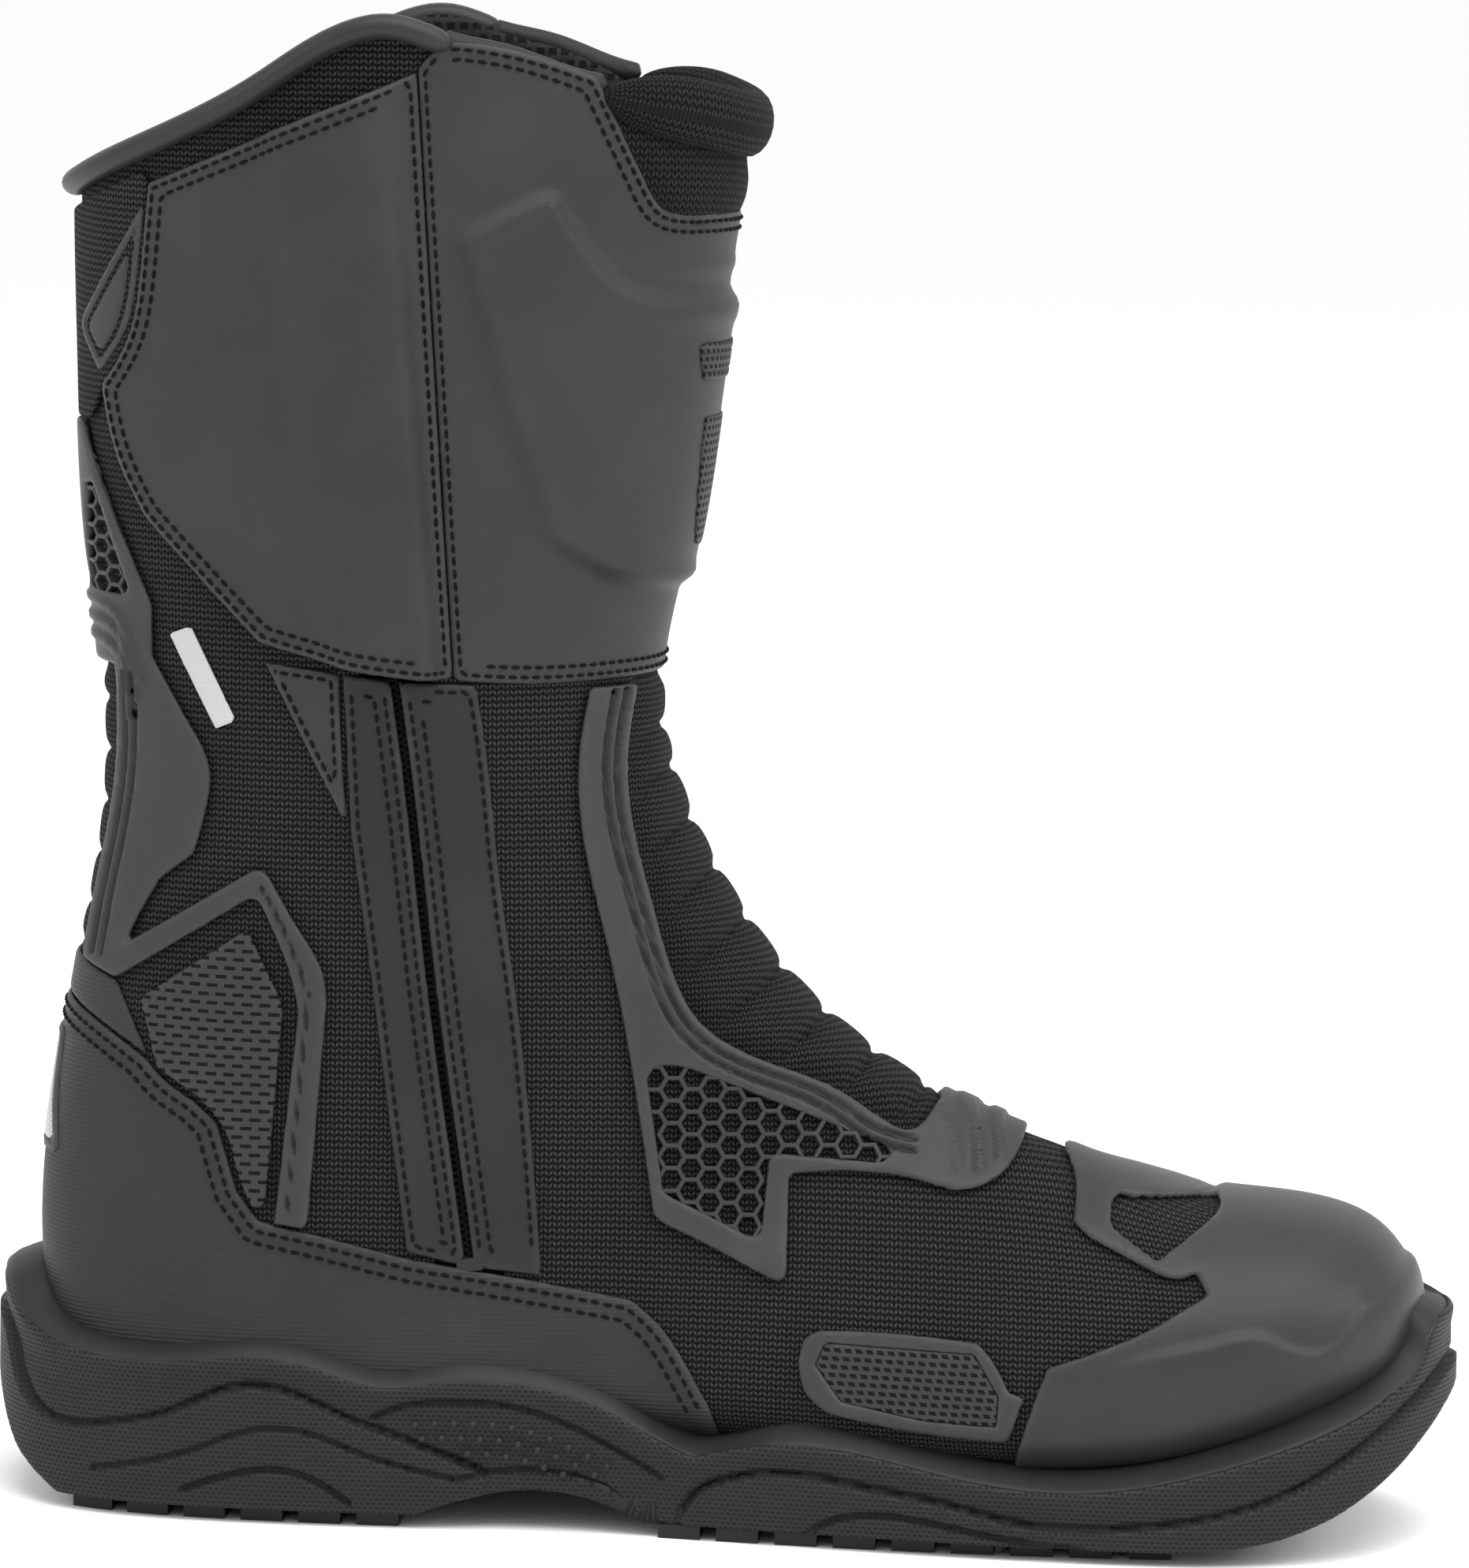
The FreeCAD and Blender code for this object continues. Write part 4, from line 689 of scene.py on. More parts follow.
silver, net, inputs = new_finish("reflective strip", 0.35, metallic=0.3)
slot = group(net, "slots", Across=1.2, Along=1.0, Fill=0.4)["Slot"]
net.tree.links.new(net.mix(slot, (.30, .31, .32), (.48, .49, .50)), inputs["Base Color"])
net.tree.links.new(net.spread(slot, 0, 1, .5, .3), inputs["Roughness"])
bumped(net, inputs, slot, 0.4, .0001)

white_label = knitted("white label", (.42, .42, .42), (.6, .6, .6), .55, .45, .0001, sheen=0.0)
print("finishes", len(bpy.data.materials), "groups", len(bpy.data.node_groups))

# %% [markdown]
# The upper starts with its cloth: one continuous knit body from the sole to the collar, left open
# for the zip and for the two stretch folds at the instep and above the heel. All outlines below are
# drawn from the side, in millimetres: pairs are corners, lists are smooth curves.

# %% Lines that several panels share
BACK, FRONT, LOW, HIGH = -190, 190, -40, 350
ZIP_FOOT, ZIP_HEAD = np.array((-51.4, 55.0)), np.array((-84.2, 301.0))
COLLAR_TOP = [(-138, 288), (-121, 296), (-98, 308), (-82, 318), (-70, 321), (-59, 317.5), (-46, 314.5),
              (-29, 309), (-12, 309), (4, 305), (14, 297)]
COLLAR_BASE = [(-138, 280.5), (-121, 288.5), (-98, 300.5), (-82, 310.5), (-70, 313), (-59, 310.3), (-46, 308),
               (-29, 302.5), (-17, 298.5), (-5, 294.5), (14, 286.5)]
RIM_SIDE = [(-138, 31), (-120, 25), (-95, 24), (-60, 21), (-20, 14), (20, 15), (55, 12), (85, 11), (110, 15),
            (129, 22), (141, 29)]
CLOTH_TOP = [(-138, 285.5), (-121, 293.5), (-98, 305.5), (-82, 315.5), (-70, 318.5), (-59, 315), (-46, 312), (-29, 305.5),
             (-17, 299.5), (-5, 295), (14, 287)]      # the cloth ends inside the rolled rim
BODY = [(-150, 278.5), CLOTH_TOP, (60, 282), (FRONT, 282), (FRONT, 50), (155, 38), RIM_SIDE[::-1], (BACK, 45), (BACK, 278.5)]
INSTEP_FOLD = [(-20, 180), [(-21.5, 164), (-20, 150), (-15, 132), (-10, 117), (-5.5, 109), (3.5, 102), (24, 93.5),
               (34.5, 87), (41.5, 85), (44, 87.5)], (46, 90), (60, 110), (60, 180)]
REAR_FOLD = [(-131, 180), [(-131, 160), (-133, 146), (-136, 131), (-138, 119)], (BACK, 119), (BACK, 180)]


def beside_zip(low, high, start=-9.0, end=2.0):
    """a band beside the zip's line, between two distances across it"""
    up = (ZIP_HEAD - ZIP_FOOT) / np.linalg.norm(ZIP_HEAD - ZIP_FOOT)
    across = np.array((up[1], -up[0]))
    corners = [ZIP_FOOT + up * start + across * low, ZIP_HEAD + up * end + across * low,
               ZIP_HEAD + up * end + across * high, ZIP_FOOT + up * start + across * high]
    return [tuple(c) for c in corners]


def zip_distance(x, z):
    """signed distance across the zip's line, positive towards the toe"""
    up = (ZIP_HEAD - ZIP_FOOT) / np.linalg.norm(ZIP_HEAD - ZIP_FOOT)
    return (x - ZIP_FOOT[0]) * up[1] - (z - ZIP_FOOT[1]) * up[0]


# %% The cloth body
near_cloth = panel("cloth_body_near", BODY, -1.3, 1.0, "near", windows=[INSTEP_FOLD, REAR_FOLD, beside_zip(-7.2, 7.2, end=-5)],
                   drop=0)
far_cloth = panel("cloth_body_far", BODY, -1.3, 1.0, "far", windows=[INSTEP_FOLD, REAR_FOLD], drop=0)
settle(near_cloth, weave, ["quarter_textile", "ankle_textile_near"])
settle(far_cloth, weave, ["shaft_textile", "ankle_textile_far"])

# %% [markdown]
# Where the foot bends, stretch cloth is gathered into padded folds. Each fold line pulls the surface
# in, and the cloth swells between two lines.

# %% Fold lines
INSTEP_LINES = [((-8, 174), (-22, 163)), ((-6, 164), (-23.5, 152)), ((-2, 154), (-22, 137)), ((4, 145), (-18, 124)),
                ((12, 134.6), (-13, 113)), ((18, 122), (-6, 102)), ((27, 113), (8, 95)), ((37, 105), (22, 88)),
                ((46, 96), (36, 84))]
REAR_LINES = [((-145, 174), (-130, 171)), ((-145, 163), (-130, 160)), ((-147, 152), (-131, 149)),
              ((-148, 141), (-133, 138)), ((-150, 130), (-134, 127))]


def folds(lines, reach, deep, swell):
    """height of cloth gathered along fold lines"""
    def height(x, z, depth, far):
        nearest = np.full(x.shape, 99.0)
        for a, b in lines:
            nearest = np.minimum(nearest, distance_to(np.array([a, b], float), x, z))
        t = np.clip(nearest / reach, 0, 1)
        edge = soft(depth, 0, 5)
        return (swell * np.sqrt(1 - (1 - t) ** 2) - deep * np.exp(-(nearest / 1.1) ** 2)) * edge
    return height


instep_folds = panel("instep_folds", INSTEP_FOLD, -1.6, 1.0, drop=0.2, shape=folds(INSTEP_LINES, 6.0, 0.7, 1.9))
settle(instep_folds, stretch, ["instep_bellows"])
rear_folds = panel("rear_folds", REAR_FOLD, -1.6, 1.0, drop=0.2, shape=folds(REAR_LINES, 5.0, 0.5, 1.3))
settle(rear_folds, stretch, ["rear_bellows"])

# %% [markdown]
# The lining is what shows through the opening: a smooth pierced cloth with its good side inwards.
# It also stands for the waterproof membrane and the padding behind it, which are never seen.

# %% The lining and the insole
lining = panel("inner_lining", BODY[:2] + [(60, 282), (FRONT, 282), (FRONT, LOW), (BACK, LOW), (BACK, 278.5)],
               -4.4, 1.4, drop=0, step=2)
settle(lining, pierced_lining, ["lining", "membrane", "ankle_padding"])
INSOLE_TOP = [(-146, 39.9), [(-122, 31.4), (-95, 30.4), (-60, 28.9), (-20, 26.4), (20, 23.4), (55, 21.9), (85, 23.9),
              (110, 28.9), (129, 35.9), (141, 42.9)], (FRONT, 60), (FRONT, LOW), (BACK, LOW), (BACK, 60)]
insole = panel("soft_insole", INSOLE_TOP, -5.9, 3.0, drop=0.5, step=2)
settle(insole, mesh_cloth, ["insole"])

# %% [markdown]
# Leather panels. The front edge of the calf flap and the rear edge of the shin panel meet in one
# straight seam with a row of stitches on each side. The shin panel is pressed over a stiff plate, so
# it has a raised shield with soft shoulders.

# %% The shin panel
SEAM_FRONT = [(-56.2, 181.3), (-64.6, 309.5)]
SHIN = SEAM_FRONT + [[(-60.5, 314), (-57, 315.5)], [(-46, 314), (-28, 308.3)], (-17, 284), [(-14.5, 280.5), (-9, 279.2)],
                     (60, 279.2), (60, 180.5), (-24, 180.5), [(-40, 180.3), (-56.2, 181.3)]]
SHIELD = [(-55, 277), [(-47, 281.5), (-40, 285)], [(-36.5, 285), (-34, 281)], [(-28, 272), (-24, 267)],
          [(-18, 264), (-10, 263)], (60, 263), (60, 197), (-14, 198.5), [(-26, 202), (-35, 207.5)],
          [(-39, 211), (-41, 218)], (-47.7, 238), (-56, 270), [(-57, 275), (-55, 277)]]
shield_line = drawn(SHIELD)


def shield(x, z, depth, far):
    inside = depth_in(shield_line, x, z)
    face = 2.0 * soft(inside, -0.8, 3.6) + 0.6 * np.exp(-((inside - 3.6) / 1.9) ** 2)
    bands = 0.5 * (np.exp(-((z - 268) / 1.6) ** 2) + np.exp(-((z - 257) / 1.6) ** 2)) * soft(x, -30, -18)
    return (face + bands) * soft(depth, 1.5, 6)


def off_the_seam(x, z):
    """the second row stops short of the seam"""
    return abs((x + 56.6) * 0.9979 + (z - 181.5) * 0.0658) > 7


shin = panel("shin_leather", SHIN, 0.0, 1.4, lines=[([(-9, 277.4), (60, 277.4)], 1.2, 0.3)], shape=shield,
             stitches=[(1.5, None), (3.6, off_the_seam)])
settle(shin, leather, ["shin_panel"])

# %% Two small rubber inserts in the shield
for name, outline in (("shin_insert_upper", [(-9.5, 252), (FRONT, 252), (FRONT, 244), (-9, 244)]),
                      ("shin_insert_lower", [(-8.8, 236), (-5.6, 236), (-9.4, 208), (-11.2, 208)])):
    insert = panel(name, outline, 2.5, 0.7, drop=0.2, lines=[([(-9.5, z), (20, z)], 0.9, 0.2) for z in range(246, 251, 2)]
                   if "upper" in name else ())
    settle(insert, pierced_pad)

# %% [markdown]
# The calf panel on the outer side is sewn down. On the inner side the same shape is a flap that
# turns about its front seam and hides the zip. It lies close to the shaft at its edges and swells
# over the zip, where the slider and its puller need room.

# %% The calf panel and the calf flap
CALF = [(-56.35, 181.5), (-64.75, 309), (-122, 284.3), [(-123.6, 267), (-127, 250.5), (-133, 241)],
        [(-129.5, 227), (-122.5, 214)], (-97, 188.8), [(-80, 184.5), (-56.35, 181.5)]]
calf = panel("calf_leather", CALF, 0.0, 1.4, "far", stitches=[(1.5, None), (3.6, off_the_seam)])
settle(calf, leather, ["calf_panel"])


def over_the_zip(x, z, depth, far):
    """the flap's rise over the zip, flush at its hinge seam"""
    across = zip_distance(x, z)
    seam = (x + 56.6) * 0.9979 + (z - 181.5) * 0.0658
    rise = 4.1 * (1 - soft(np.abs(across), 7.5, 17))
    return (rise + 1.7) * soft(-seam, 0.5, 6.5)


flap = panel("calf_flap_leather", CALF, 0.0, 1.4, "near", shape=over_the_zip, group="flap",
             stitches=[(1.5, None), (3.6, off_the_seam)])
settle(flap, leather, ["calf_flap"], body="flap")
PATCH = [(-119, 276), (-103, 283), (-103, 208), (-119, 223)]
hooks = panel("flap_hook_tape", PATCH, 0.25, 0.5, "near", drop=0.1)
settle(hooks, hook_tape, ["flap_hook_patch"], body="flap")
loops = panel("shaft_loop_tape", PATCH, -0.5, 0.8, "near", drop=0.2, group="upper", stitches=[(1.5, None)])
settle(loops, hook_tape, ["loop_patch"])

# %% [markdown]
# The zip runs from the sole to under the collar. Two leather strips lie beside it and nearly touch,
# so only a dark line shows. Under them are the two tapes and the rows of teeth.

# %% Zip strips, gore and tapes
STRIP_REAR = [(-79.5, 182.4), (-69.4, 181.2), [(-66.9, 163.5), (-63.8, 138), (-60, 107), (-56, 80), (-52.4, 56)],
              (-65, 58.8), [(-70, 94), (-74, 124), (-77.6, 149)]]
STRIP_FRONT = [(-67.6, 181), (-51.6, 180.4), [(-49.2, 165), (-46.5, 141), (-42.8, 116), (-39.7, 91), (-36.3, 54.4)],
               (-50.6, 55.8), [(-54.2, 80), (-58.2, 107), (-62, 138), (-65.1, 163.5)]]
GORE = [(-96.3, 184.4), (-80.3, 182.5), [(-79.5, 165), (-78.2, 149.5)], (-85.6, 163.5)]


def off_the_ends(x, z):
    return 59 < z < 179


def lip(x, z, depth, far):
    """the strips' inner edges curl up a little along the zip"""
    return 0.5 * (1 - soft(np.abs(zip_distance(x, z)), 0.5, 5)) * soft(z, 60, 75)


rear_strip = panel("zip_strip_rear_leather", STRIP_REAR, 0.0, 1.4, "near", shape=lip,
                   stitches=[(1.7, off_the_ends), (3.9, lambda x, z: off_the_ends(x, z) and zip_distance(x, z) > -7)])
settle(rear_strip, strip_leather, ["zip_strip_rear"])
front_strip = panel("zip_strip_front_leather", STRIP_FRONT, 0.0, 1.4, "near", shape=lip,
                    stitches=[(1.7, off_the_ends), (3.9, lambda x, z: off_the_ends(x, z) and zip_distance(x, z) < 7)])
settle(front_strip, strip_leather, ["zip_strip_front"])
gore = panel("zip_gore_leather", GORE, -0.1, 1.2, "near", stitches=[(1.6, lambda x, z: x < -79 and z < 183)])
settle(gore, leather, ["zip_gore"])
for name, low, high in (("zip_tape_rear", -7.2, -0.3), ("zip_tape_front", 0.3, 7.2)):
    tape = panel(name + "_cloth", beside_zip(low, high, -4, -5), -2.6, 0.5, "near", drop=0)
    settle(tape, tape_cloth, [name])

# %% The zip's teeth: one small bevelled block, copied up both sides
up = (ZIP_HEAD - ZIP_FOOT) / np.linalg.norm(ZIP_HEAD - ZIP_FOOT)
TOOTH_PITCH, TOOTH = 1.5, (3.0, 0.8, 1.0)


def place_on(skin, x, z, far=False):
    """point and outward direction of the skin at a place seen from the side"""
    half = skin.points.shape[1] // 2
    part = slice(half, None) if far else slice(0, half)
    gap = (skin.points[:, part, 0] - x) ** 2 + (skin.points[:, part, 2] - z) ** 2
    row, column = np.unravel_index(np.argmin(gap), gap.shape)
    point, out = skin.points[:, part][row, column].copy(), skin.normal[:, part][row, column]
    if abs(out[1]) > 0.3:
        point[1] -= (out[0] * (x - point[0]) + out[2] * (z - point[2])) / out[1]
    point[0], point[2] = x, z
    return point, out


bpy.ops.mesh.primitive_cube_add(size=1)
tooth = bpy.context.object
tooth.scale = TOOTH
bpy.ops.object.transform_apply(location=False, rotation=False, scale=True)
rounding = tooth.modifiers.new("Rounding", "BEVEL")
rounding.width, rounding.segments = 0.18, 1
apply_all(tooth)
tooth_points = np.array([v.co[:] for v in tooth.data.vertices])
tooth_faces = [tuple(p.vertices) for p in tooth.data.polygons]
bpy.data.objects.remove(tooth)


def copies(name, points, faces, frames):
    """one mesh of a small shape laid in many places: (place, along, across, out)"""
    laid = np.concatenate([at + points[:, :1] * a + points[:, 1:2] * b + points[:, 2:3] * c for at, a, b, c in frames])
    return mesh_piece(name, laid, [[i + k * len(points) for i in f] for k in range(len(frames)) for f in faces],
                      cloth=laid[:, [0, 2]])


zip_length = np.linalg.norm(ZIP_HEAD - ZIP_FOOT)
for name, sign in (("zip_coil_rear", -1), ("zip_coil_front", 1)):
    frames = []
    for k in range(int(zip_length / TOOTH_PITCH)):
        s = (k + (0.5 if sign > 0 else 0)) * TOOTH_PITCH
        x, z = ZIP_FOOT + up * s + np.array((up[1], -up[0])) * sign * 1.2
        point, out = place_on(LAST, x, z)
        along = np.array((up[1], 0, -up[0]))
        along -= out * (along @ out)
        along /= np.linalg.norm(along)
        frames.append((point - out * 2.0, along, np.cross(out, along), out))
    teeth = copies(name + "_teeth", tooth_points, tooth_faces, frames)
    settle(teeth, tape_cloth, [name])

# %% [markdown]
# Moulded frames brace the ankle. They are thicker than the leather, with rounded edges, two fine
# channels beside the folds, and windows filled with a honeycomb.

# %% The instep frame
INSTEP_FRAME = [(-29, 179), [(-31, 164), (-30, 149), (-24, 124), (-18.5, 99), (-13.5, 70)], [(-12.5, 67), (-10.5, 65.5)],
                (12.5, 55.2), [(15, 55), (15.8, 57)], (15.3, 76.2), [(28, 76.8), (41.5, 75.4), (50, 73.3)],
                [(58, 75), (63, 79.5), (65.5, 90)], (66, 110), (46, 110), (46, 90),
                [(44, 87.5), (41.5, 85), (34.5, 87), (24, 93.5), (3.5, 102), (-5.5, 109), (-10, 117), (-15, 132),
                 (-20, 150), (-21.5, 164), (-20, 179)]]
INSTEP_WINDOW = [(-15, 96), [(-13.5, 98.5), (-11, 99), (-2, 96.5)], (34, 82.3), [(36.5, 80.5), (34.5, 78.5)], (13, 80.3),
                 [(11.3, 79.8), (10.8, 78)], (10, 65.5), [(9, 63.5), (7, 63.6)], (-9, 71), [(-11, 72.5), (-11.5, 75)]]


def beside_fold(move):
    """a line alongside the fold's edge"""
    return [(-20 - move, 178), [(-21.5 - move, 164), (-20 - move, 150), (-15 - move, 132), (-10 - move * 0.95, 117 - move * 0.3),
            (-5.5 - move * 0.75, 109 - move * 0.7), (3.5 - move * 0.45, 102 - move * 0.9), (24 - move * 0.45, 93.5 - move * 0.9),
            (34.5 - move * 0.3, 87 - move * 0.95), (41.5, 85 - move)]]


CRESCENTS = [([(50, 90), [(54, 84), (55.5, 77)]], 2.6, -0.8), ([(54.5, 91), [(58, 85.5), (59.8, 79)]], 2.6, -0.8),
             ([(46, 88), [(49.5, 83), (51, 77)]], 2.2, -0.5)]
instep_frame = panel("instep_frame_moulded", INSTEP_FRAME, 0.8, 2.2, windows=[INSTEP_WINDOW],
                     lines=[(beside_fold(2.2), 1.5, 1.0), (beside_fold(4.4), 1.5, 1.0)] + CRESCENTS)
settle(instep_frame, moulded, ["instep_frame"])

# %% The rear frame, which wraps round the back above the heel
REAR_FRAME = [(BACK, 232.5), (-140, 232.5), [(-135, 221.5), (-127, 205.5), (-121.7, 195)], (-121.7, 184),
              (-112.5, 169.5), [(-108.5, 162), (-109, 152.5), (-111.8, 142.5)], (-119.5, 136.5),
              [(-123, 130.5), (-127.5, 121.8)], (-99, 139.6), [(-96.8, 140), (-95, 138.7)],
              [(-88, 127), (-83, 117.5), (-82.4, 112.5)], (-86.2, 63.2), (-93.3, 64.3), (-88.5, 110),
              [(-89.5, 115), (-96.5, 132.5)], [(-98, 133.8), (-99.7, 133.6)], (-129.5, 114.4), (-140.5, 118), (BACK, 118)]
REAR_HOLLOW = [(-131, 181), [(-131, 160), (-133, 146), (-136, 131), (-138, 119)], (-138, 110), (BACK, 110), (BACK, 181)]
REAR_WINDOW = [(-138.5, 219), [(-137, 219.5), (-135.5, 217.5)], (-128.2, 200), [(-127.5, 197.5), (-129, 196.5)],
               (-137, 196.5), [(-138.5, 197), (-139, 199)]]
REAR_RIDGES = [([(BACK, z), (-136, z), [(-131, z - 1.5), (-126.5, z - 9)], (-124 + k, z - 16)], 2.4, -0.7)
               for k, z in ((0, 194.5), (-1.5, 190.5), (-3, 186.5))]
BESIDE_REAR = [([(-130 + m, 180), [(-130 + m, 160), (-132 + m, 146), (-135 + m, 131), (-137 + m, 119)]], 1.4, 0.9)
               for m in (1.8, 4.0)]
RAIL = [([(-96.4, 136.4), [(-90, 124), (-86.3, 114)], (-90.6, 66)], 1.3, 0.7)]
rear_frame = panel("rear_frame_moulded", REAR_FRAME, 0.8, 2.2, windows=[REAR_HOLLOW, REAR_WINDOW],
                   lines=REAR_RIDGES + BESIDE_REAR + RAIL)
settle(rear_frame, moulded, ["rear_frame"])


# %% Honeycomb: bars along the sides of six-sided cells, laid on the skin
def honeycomb(name, outline, size, top, base, body_width=0.95):
    edge = drawn(outline)
    low, high = edge.min(0) - size, edge.max(0) + size
    bars = {}
    for i in range(int((high[0] - low[0]) / (size * 1.5)) + 2):
        for j in range(int((high[1] - low[1]) / (size * math.sqrt(3))) + 2):
            centre = low + np.array((i * size * 1.5, (j + 0.5 * (i % 2)) * size * math.sqrt(3)))
            corners = [centre + size * np.array((math.cos(k * math.pi / 3), math.sin(k * math.pi / 3))) for k in range(6)]
            for a, b in zip(corners, corners[1:] + corners[:1]):
                bars[tuple(np.round(np.sort([a[0], b[0]]).tolist() + [(a + b)[1] / 2], 2))] = (a, b)
    points, faces = [], []
    for far in (False, True):
        for a, b in bars.values():
            middle = (a + b) / 2
            if depth_in(edge, np.array([a[0], b[0]]), np.array([a[1], b[1]])).max() < 0.2:
                continue
            if depth_in(edge, middle[:1], middle[1:])[0] < -0.4:
                continue
            ends = [place_on(LAST, p[0], p[1], far) for p in (a, b)]
            if min(abs(out[1]) for _, out in ends) < 0.15:
                continue
            forward = ends[1][0] - ends[0][0]
            forward /= np.linalg.norm(forward)
            first = len(points)
            for (point, out), push in zip(ends, (-0.3, 0.3)):
                across = np.cross(out, forward)
                across /= np.linalg.norm(across)
                for level, side in ((base, -1), (top - 0.2, -1), (top, -0.6), (top, 0.6), (top - 0.2, 1), (base, 1)):
                    points.append(point + forward * push + across * side * body_width / 2 + out * level)
            faces += [[first + k, first + (k + 1) % 6, first + 6 + (k + 1) % 6, first + 6 + k] for k in range(6)]
            faces += [[first + k for k in range(5, -1, -1)], [first + 6 + k for k in range(6)]]
    piece = mesh_piece(name, points, faces, cloth=np.array(points)[:, [0, 2]], smooth=False)
    return tidy_normals(piece)


settle(honeycomb("instep_honeycomb", INSTEP_WINDOW, 2.75, 0.3, -1.5), moulded)
settle(honeycomb("rear_honeycomb", REAR_WINDOW, 2.3, 0.3, -1.5), moulded)

# %% [markdown]
# The ankle guard sits inside the rear frame's rail. Below it a big leather overlay wraps the heel,
# with a patch and a small reflective strip at the back.

# %% The ankle guards
ANKLE_GUARD = [(-123.5, 111), (-100.8, 126.6), [(-99.8, 127.2), (-99, 126)], (-92.3, 112.5), (-91.8, 109.5),
               (-95.2, 68.5), (-97.5, 66.5), [(-101, 74), (-104.5, 84.5), (-110.5, 91)], (-119.5, 96.5)]
for side in ("near", "far"):
    guard = panel(f"ankle_guard_{side}_moulded", ANKLE_GUARD, 0.6, 1.8, side,
                  lines=[([(-110, 106), (-104, 106), (-106, 100)], 1.4, -0.35)])
    settle(guard, pierced_guard, [f"ankle_guard_{side}"])

# %% The heel overlay with its patch and strip
HEEL = [(BACK, 109), (-143, 108.5), [(-131, 103), (-122.2, 98)], [(-118, 94), (-111.5, 90)], (-106, 85.5),
        [(-104, 79), (-101.5, 71)], (-96.5, 64.4), (-84.5, 62), (-64, 57.2), (-35, 52.8), (-17, 50),
        [(-11, 45), (-4.5, 36), (0, 28)], (3, 18), (-20, 14), (-60, 20), (-95, 23), (-120, 24), (-138, 30), (BACK, 44)]


def along_its_top(x, z):
    return z > 24 + max(0.0, (x + 20) * 0.2) or x < -60 and z > 50


REFLECTIVE = [(BACK, 99), (-143.9, 99), [(-145, 88), (-144.1, 77)], (BACK, 77)]
heel = panel("heel_leather", HEEL, 0.0, 1.4, stitches=[(2.0, along_its_top), (4.6, along_its_top)])
settle(heel, heel_leather, ["heel_overlay"])
HEEL_PATCH = [(BACK, 117.5), (-141, 117.5), (-130, 114), (-121.8, 98.6), [(-131, 103.5), (-143, 109)], (BACK, 109.5)]
heel_patch = panel("heel_patch_leather", HEEL_PATCH, -0.2, 1.2)
settle(heel_patch, heel_leather, ["heel_top_patch"])
strip = panel("reflective_heel_strip", REFLECTIVE, 0.5, 0.8, drop=0.3)
settle(strip, silver, ["reflective_heel_insert"])
strip_edge = panel("reflective_strip_surround", [(BACK, 101), (-142.4, 101), [(-143.4, 88), (-142.5, 75)], (BACK, 75)],
                   0.7, 1.0, windows=[REFLECTIVE])
settle(strip_edge, moulded)

# %% [markdown]
# The toe has a hard shell under smooth leather, with a crease that runs round above the sole. Behind
# it on each side is a pad against scuffs from the gear lever.

# %% The toe guard
TOE = [(73, 110), (73, 80.5), [(75.5, 76.5), (76.2, 72), (76, 68.5)], (79.5, 65.8), (95, 59.3), [(99, 58.8), (102.5, 59.8)],
       (105, 56), [(92, 48.5), (72, 40.5)], [(69, 32), (66, 22)], (64, 9), (85, 9), (110, 14), (129, 21), (141, 28),
       (155, 38), (FRONT, 38), (FRONT, 110)]
TOE_WINDOW = [(84, 71.5), [(85, 72.8), (87, 72.8)], (105.5, 72), [(106.8, 71), (106, 69.5)], (96, 63),
              [(94.5, 62), (92.5, 62.7)], (85.5, 66.8), [(84.2, 68), (84, 69.5)]]
CREASE = drawn([(70, 37), (83.1, 41.5), [(97.1, 45.6), (106, 47.5)], [(117, 49.2), (122, 47)], [(129, 46), (137, 55)],
                (150, 60)], False)


def crease(x, z, depth, far):
    """the shell steps out below its crease"""
    line = np.interp(x, CREASE[:, 0], CREASE[:, 1])
    return (1.1 * soft(line - z, -0.4, 2.2) - 0.7 * soft(line - z, 2.5, 12)) * soft(x, 80, 98)


toe = panel("toe_shell_leather", TOE, 0.5, 1.6, windows=[TOE_WINDOW], shape=crease)
settle(toe, toe_shell, ["toe_guard"])

# %% The gear pads
GEAR = [(23, 45.5), [(40, 45.8), (57, 44.8)], [(59, 43), (64, 35)], (67.3, 34), (64, 24), [(45, 25), (26, 28)],
        [(21, 32), (19, 39)], (20, 43.5)]
GEAR_FIELD = [(24.8, 43), (56.5, 42.4), (61.8, 34), (61.5, 27.5), (46, 28), (28.5, 31), (22.8, 38.5)]
for side in ("near", "far"):
    rim_of_pad = panel(f"gear_pad_{side}_moulded", GEAR, 0.4, 1.6, side, windows=[GEAR_FIELD])
    settle(rim_of_pad, moulded, [f"gear_pad_{side}"])
    field = panel(f"gear_field_{side}", GEAR_FIELD, 0.05, 1.2, side, drop=0.2)
    settle(field, pierced_pad)

# %% [markdown]
# Small things on the shaft: a plain badge plate at the back, a blank white label, and the knit at
# the collar's front and rear. Labels carry no words.

# %% Badge, label and collar knits
BADGE = [(-123.2, 281), (-138.2, 256.5), [(-139.4, 253.5), (-139, 251)], (-134.4, 243.5), [(-128.2, 252), (-124.6, 268)]]
badge = panel("badge_plate_moulded", BADGE, 0.9, 2.0, "near", steps=(0.3, 1.2, 1.6, 2.4, 2.8),
              shape=lambda x, z, depth, far: -0.8 * (soft(depth, 1.2, 1.6) - soft(depth, 2.4, 2.8)))
settle(badge, moulded, ["badge_plate"])
LABEL = [(-118.2, 189), (-113.2, 191), (-102.8, 171.5), (-107.4, 169.5)]
label = panel("blank_label", LABEL, -0.6, 0.5, "near", drop=0.1)
settle(label, white_label, ["sewn_label"])
KNIT_FRONT = [(-29, 303), [(-17, 298), (-5, 294), (14, 286)], (60, 276), (-9, 276), [(-16, 279), (-20, 284)]]
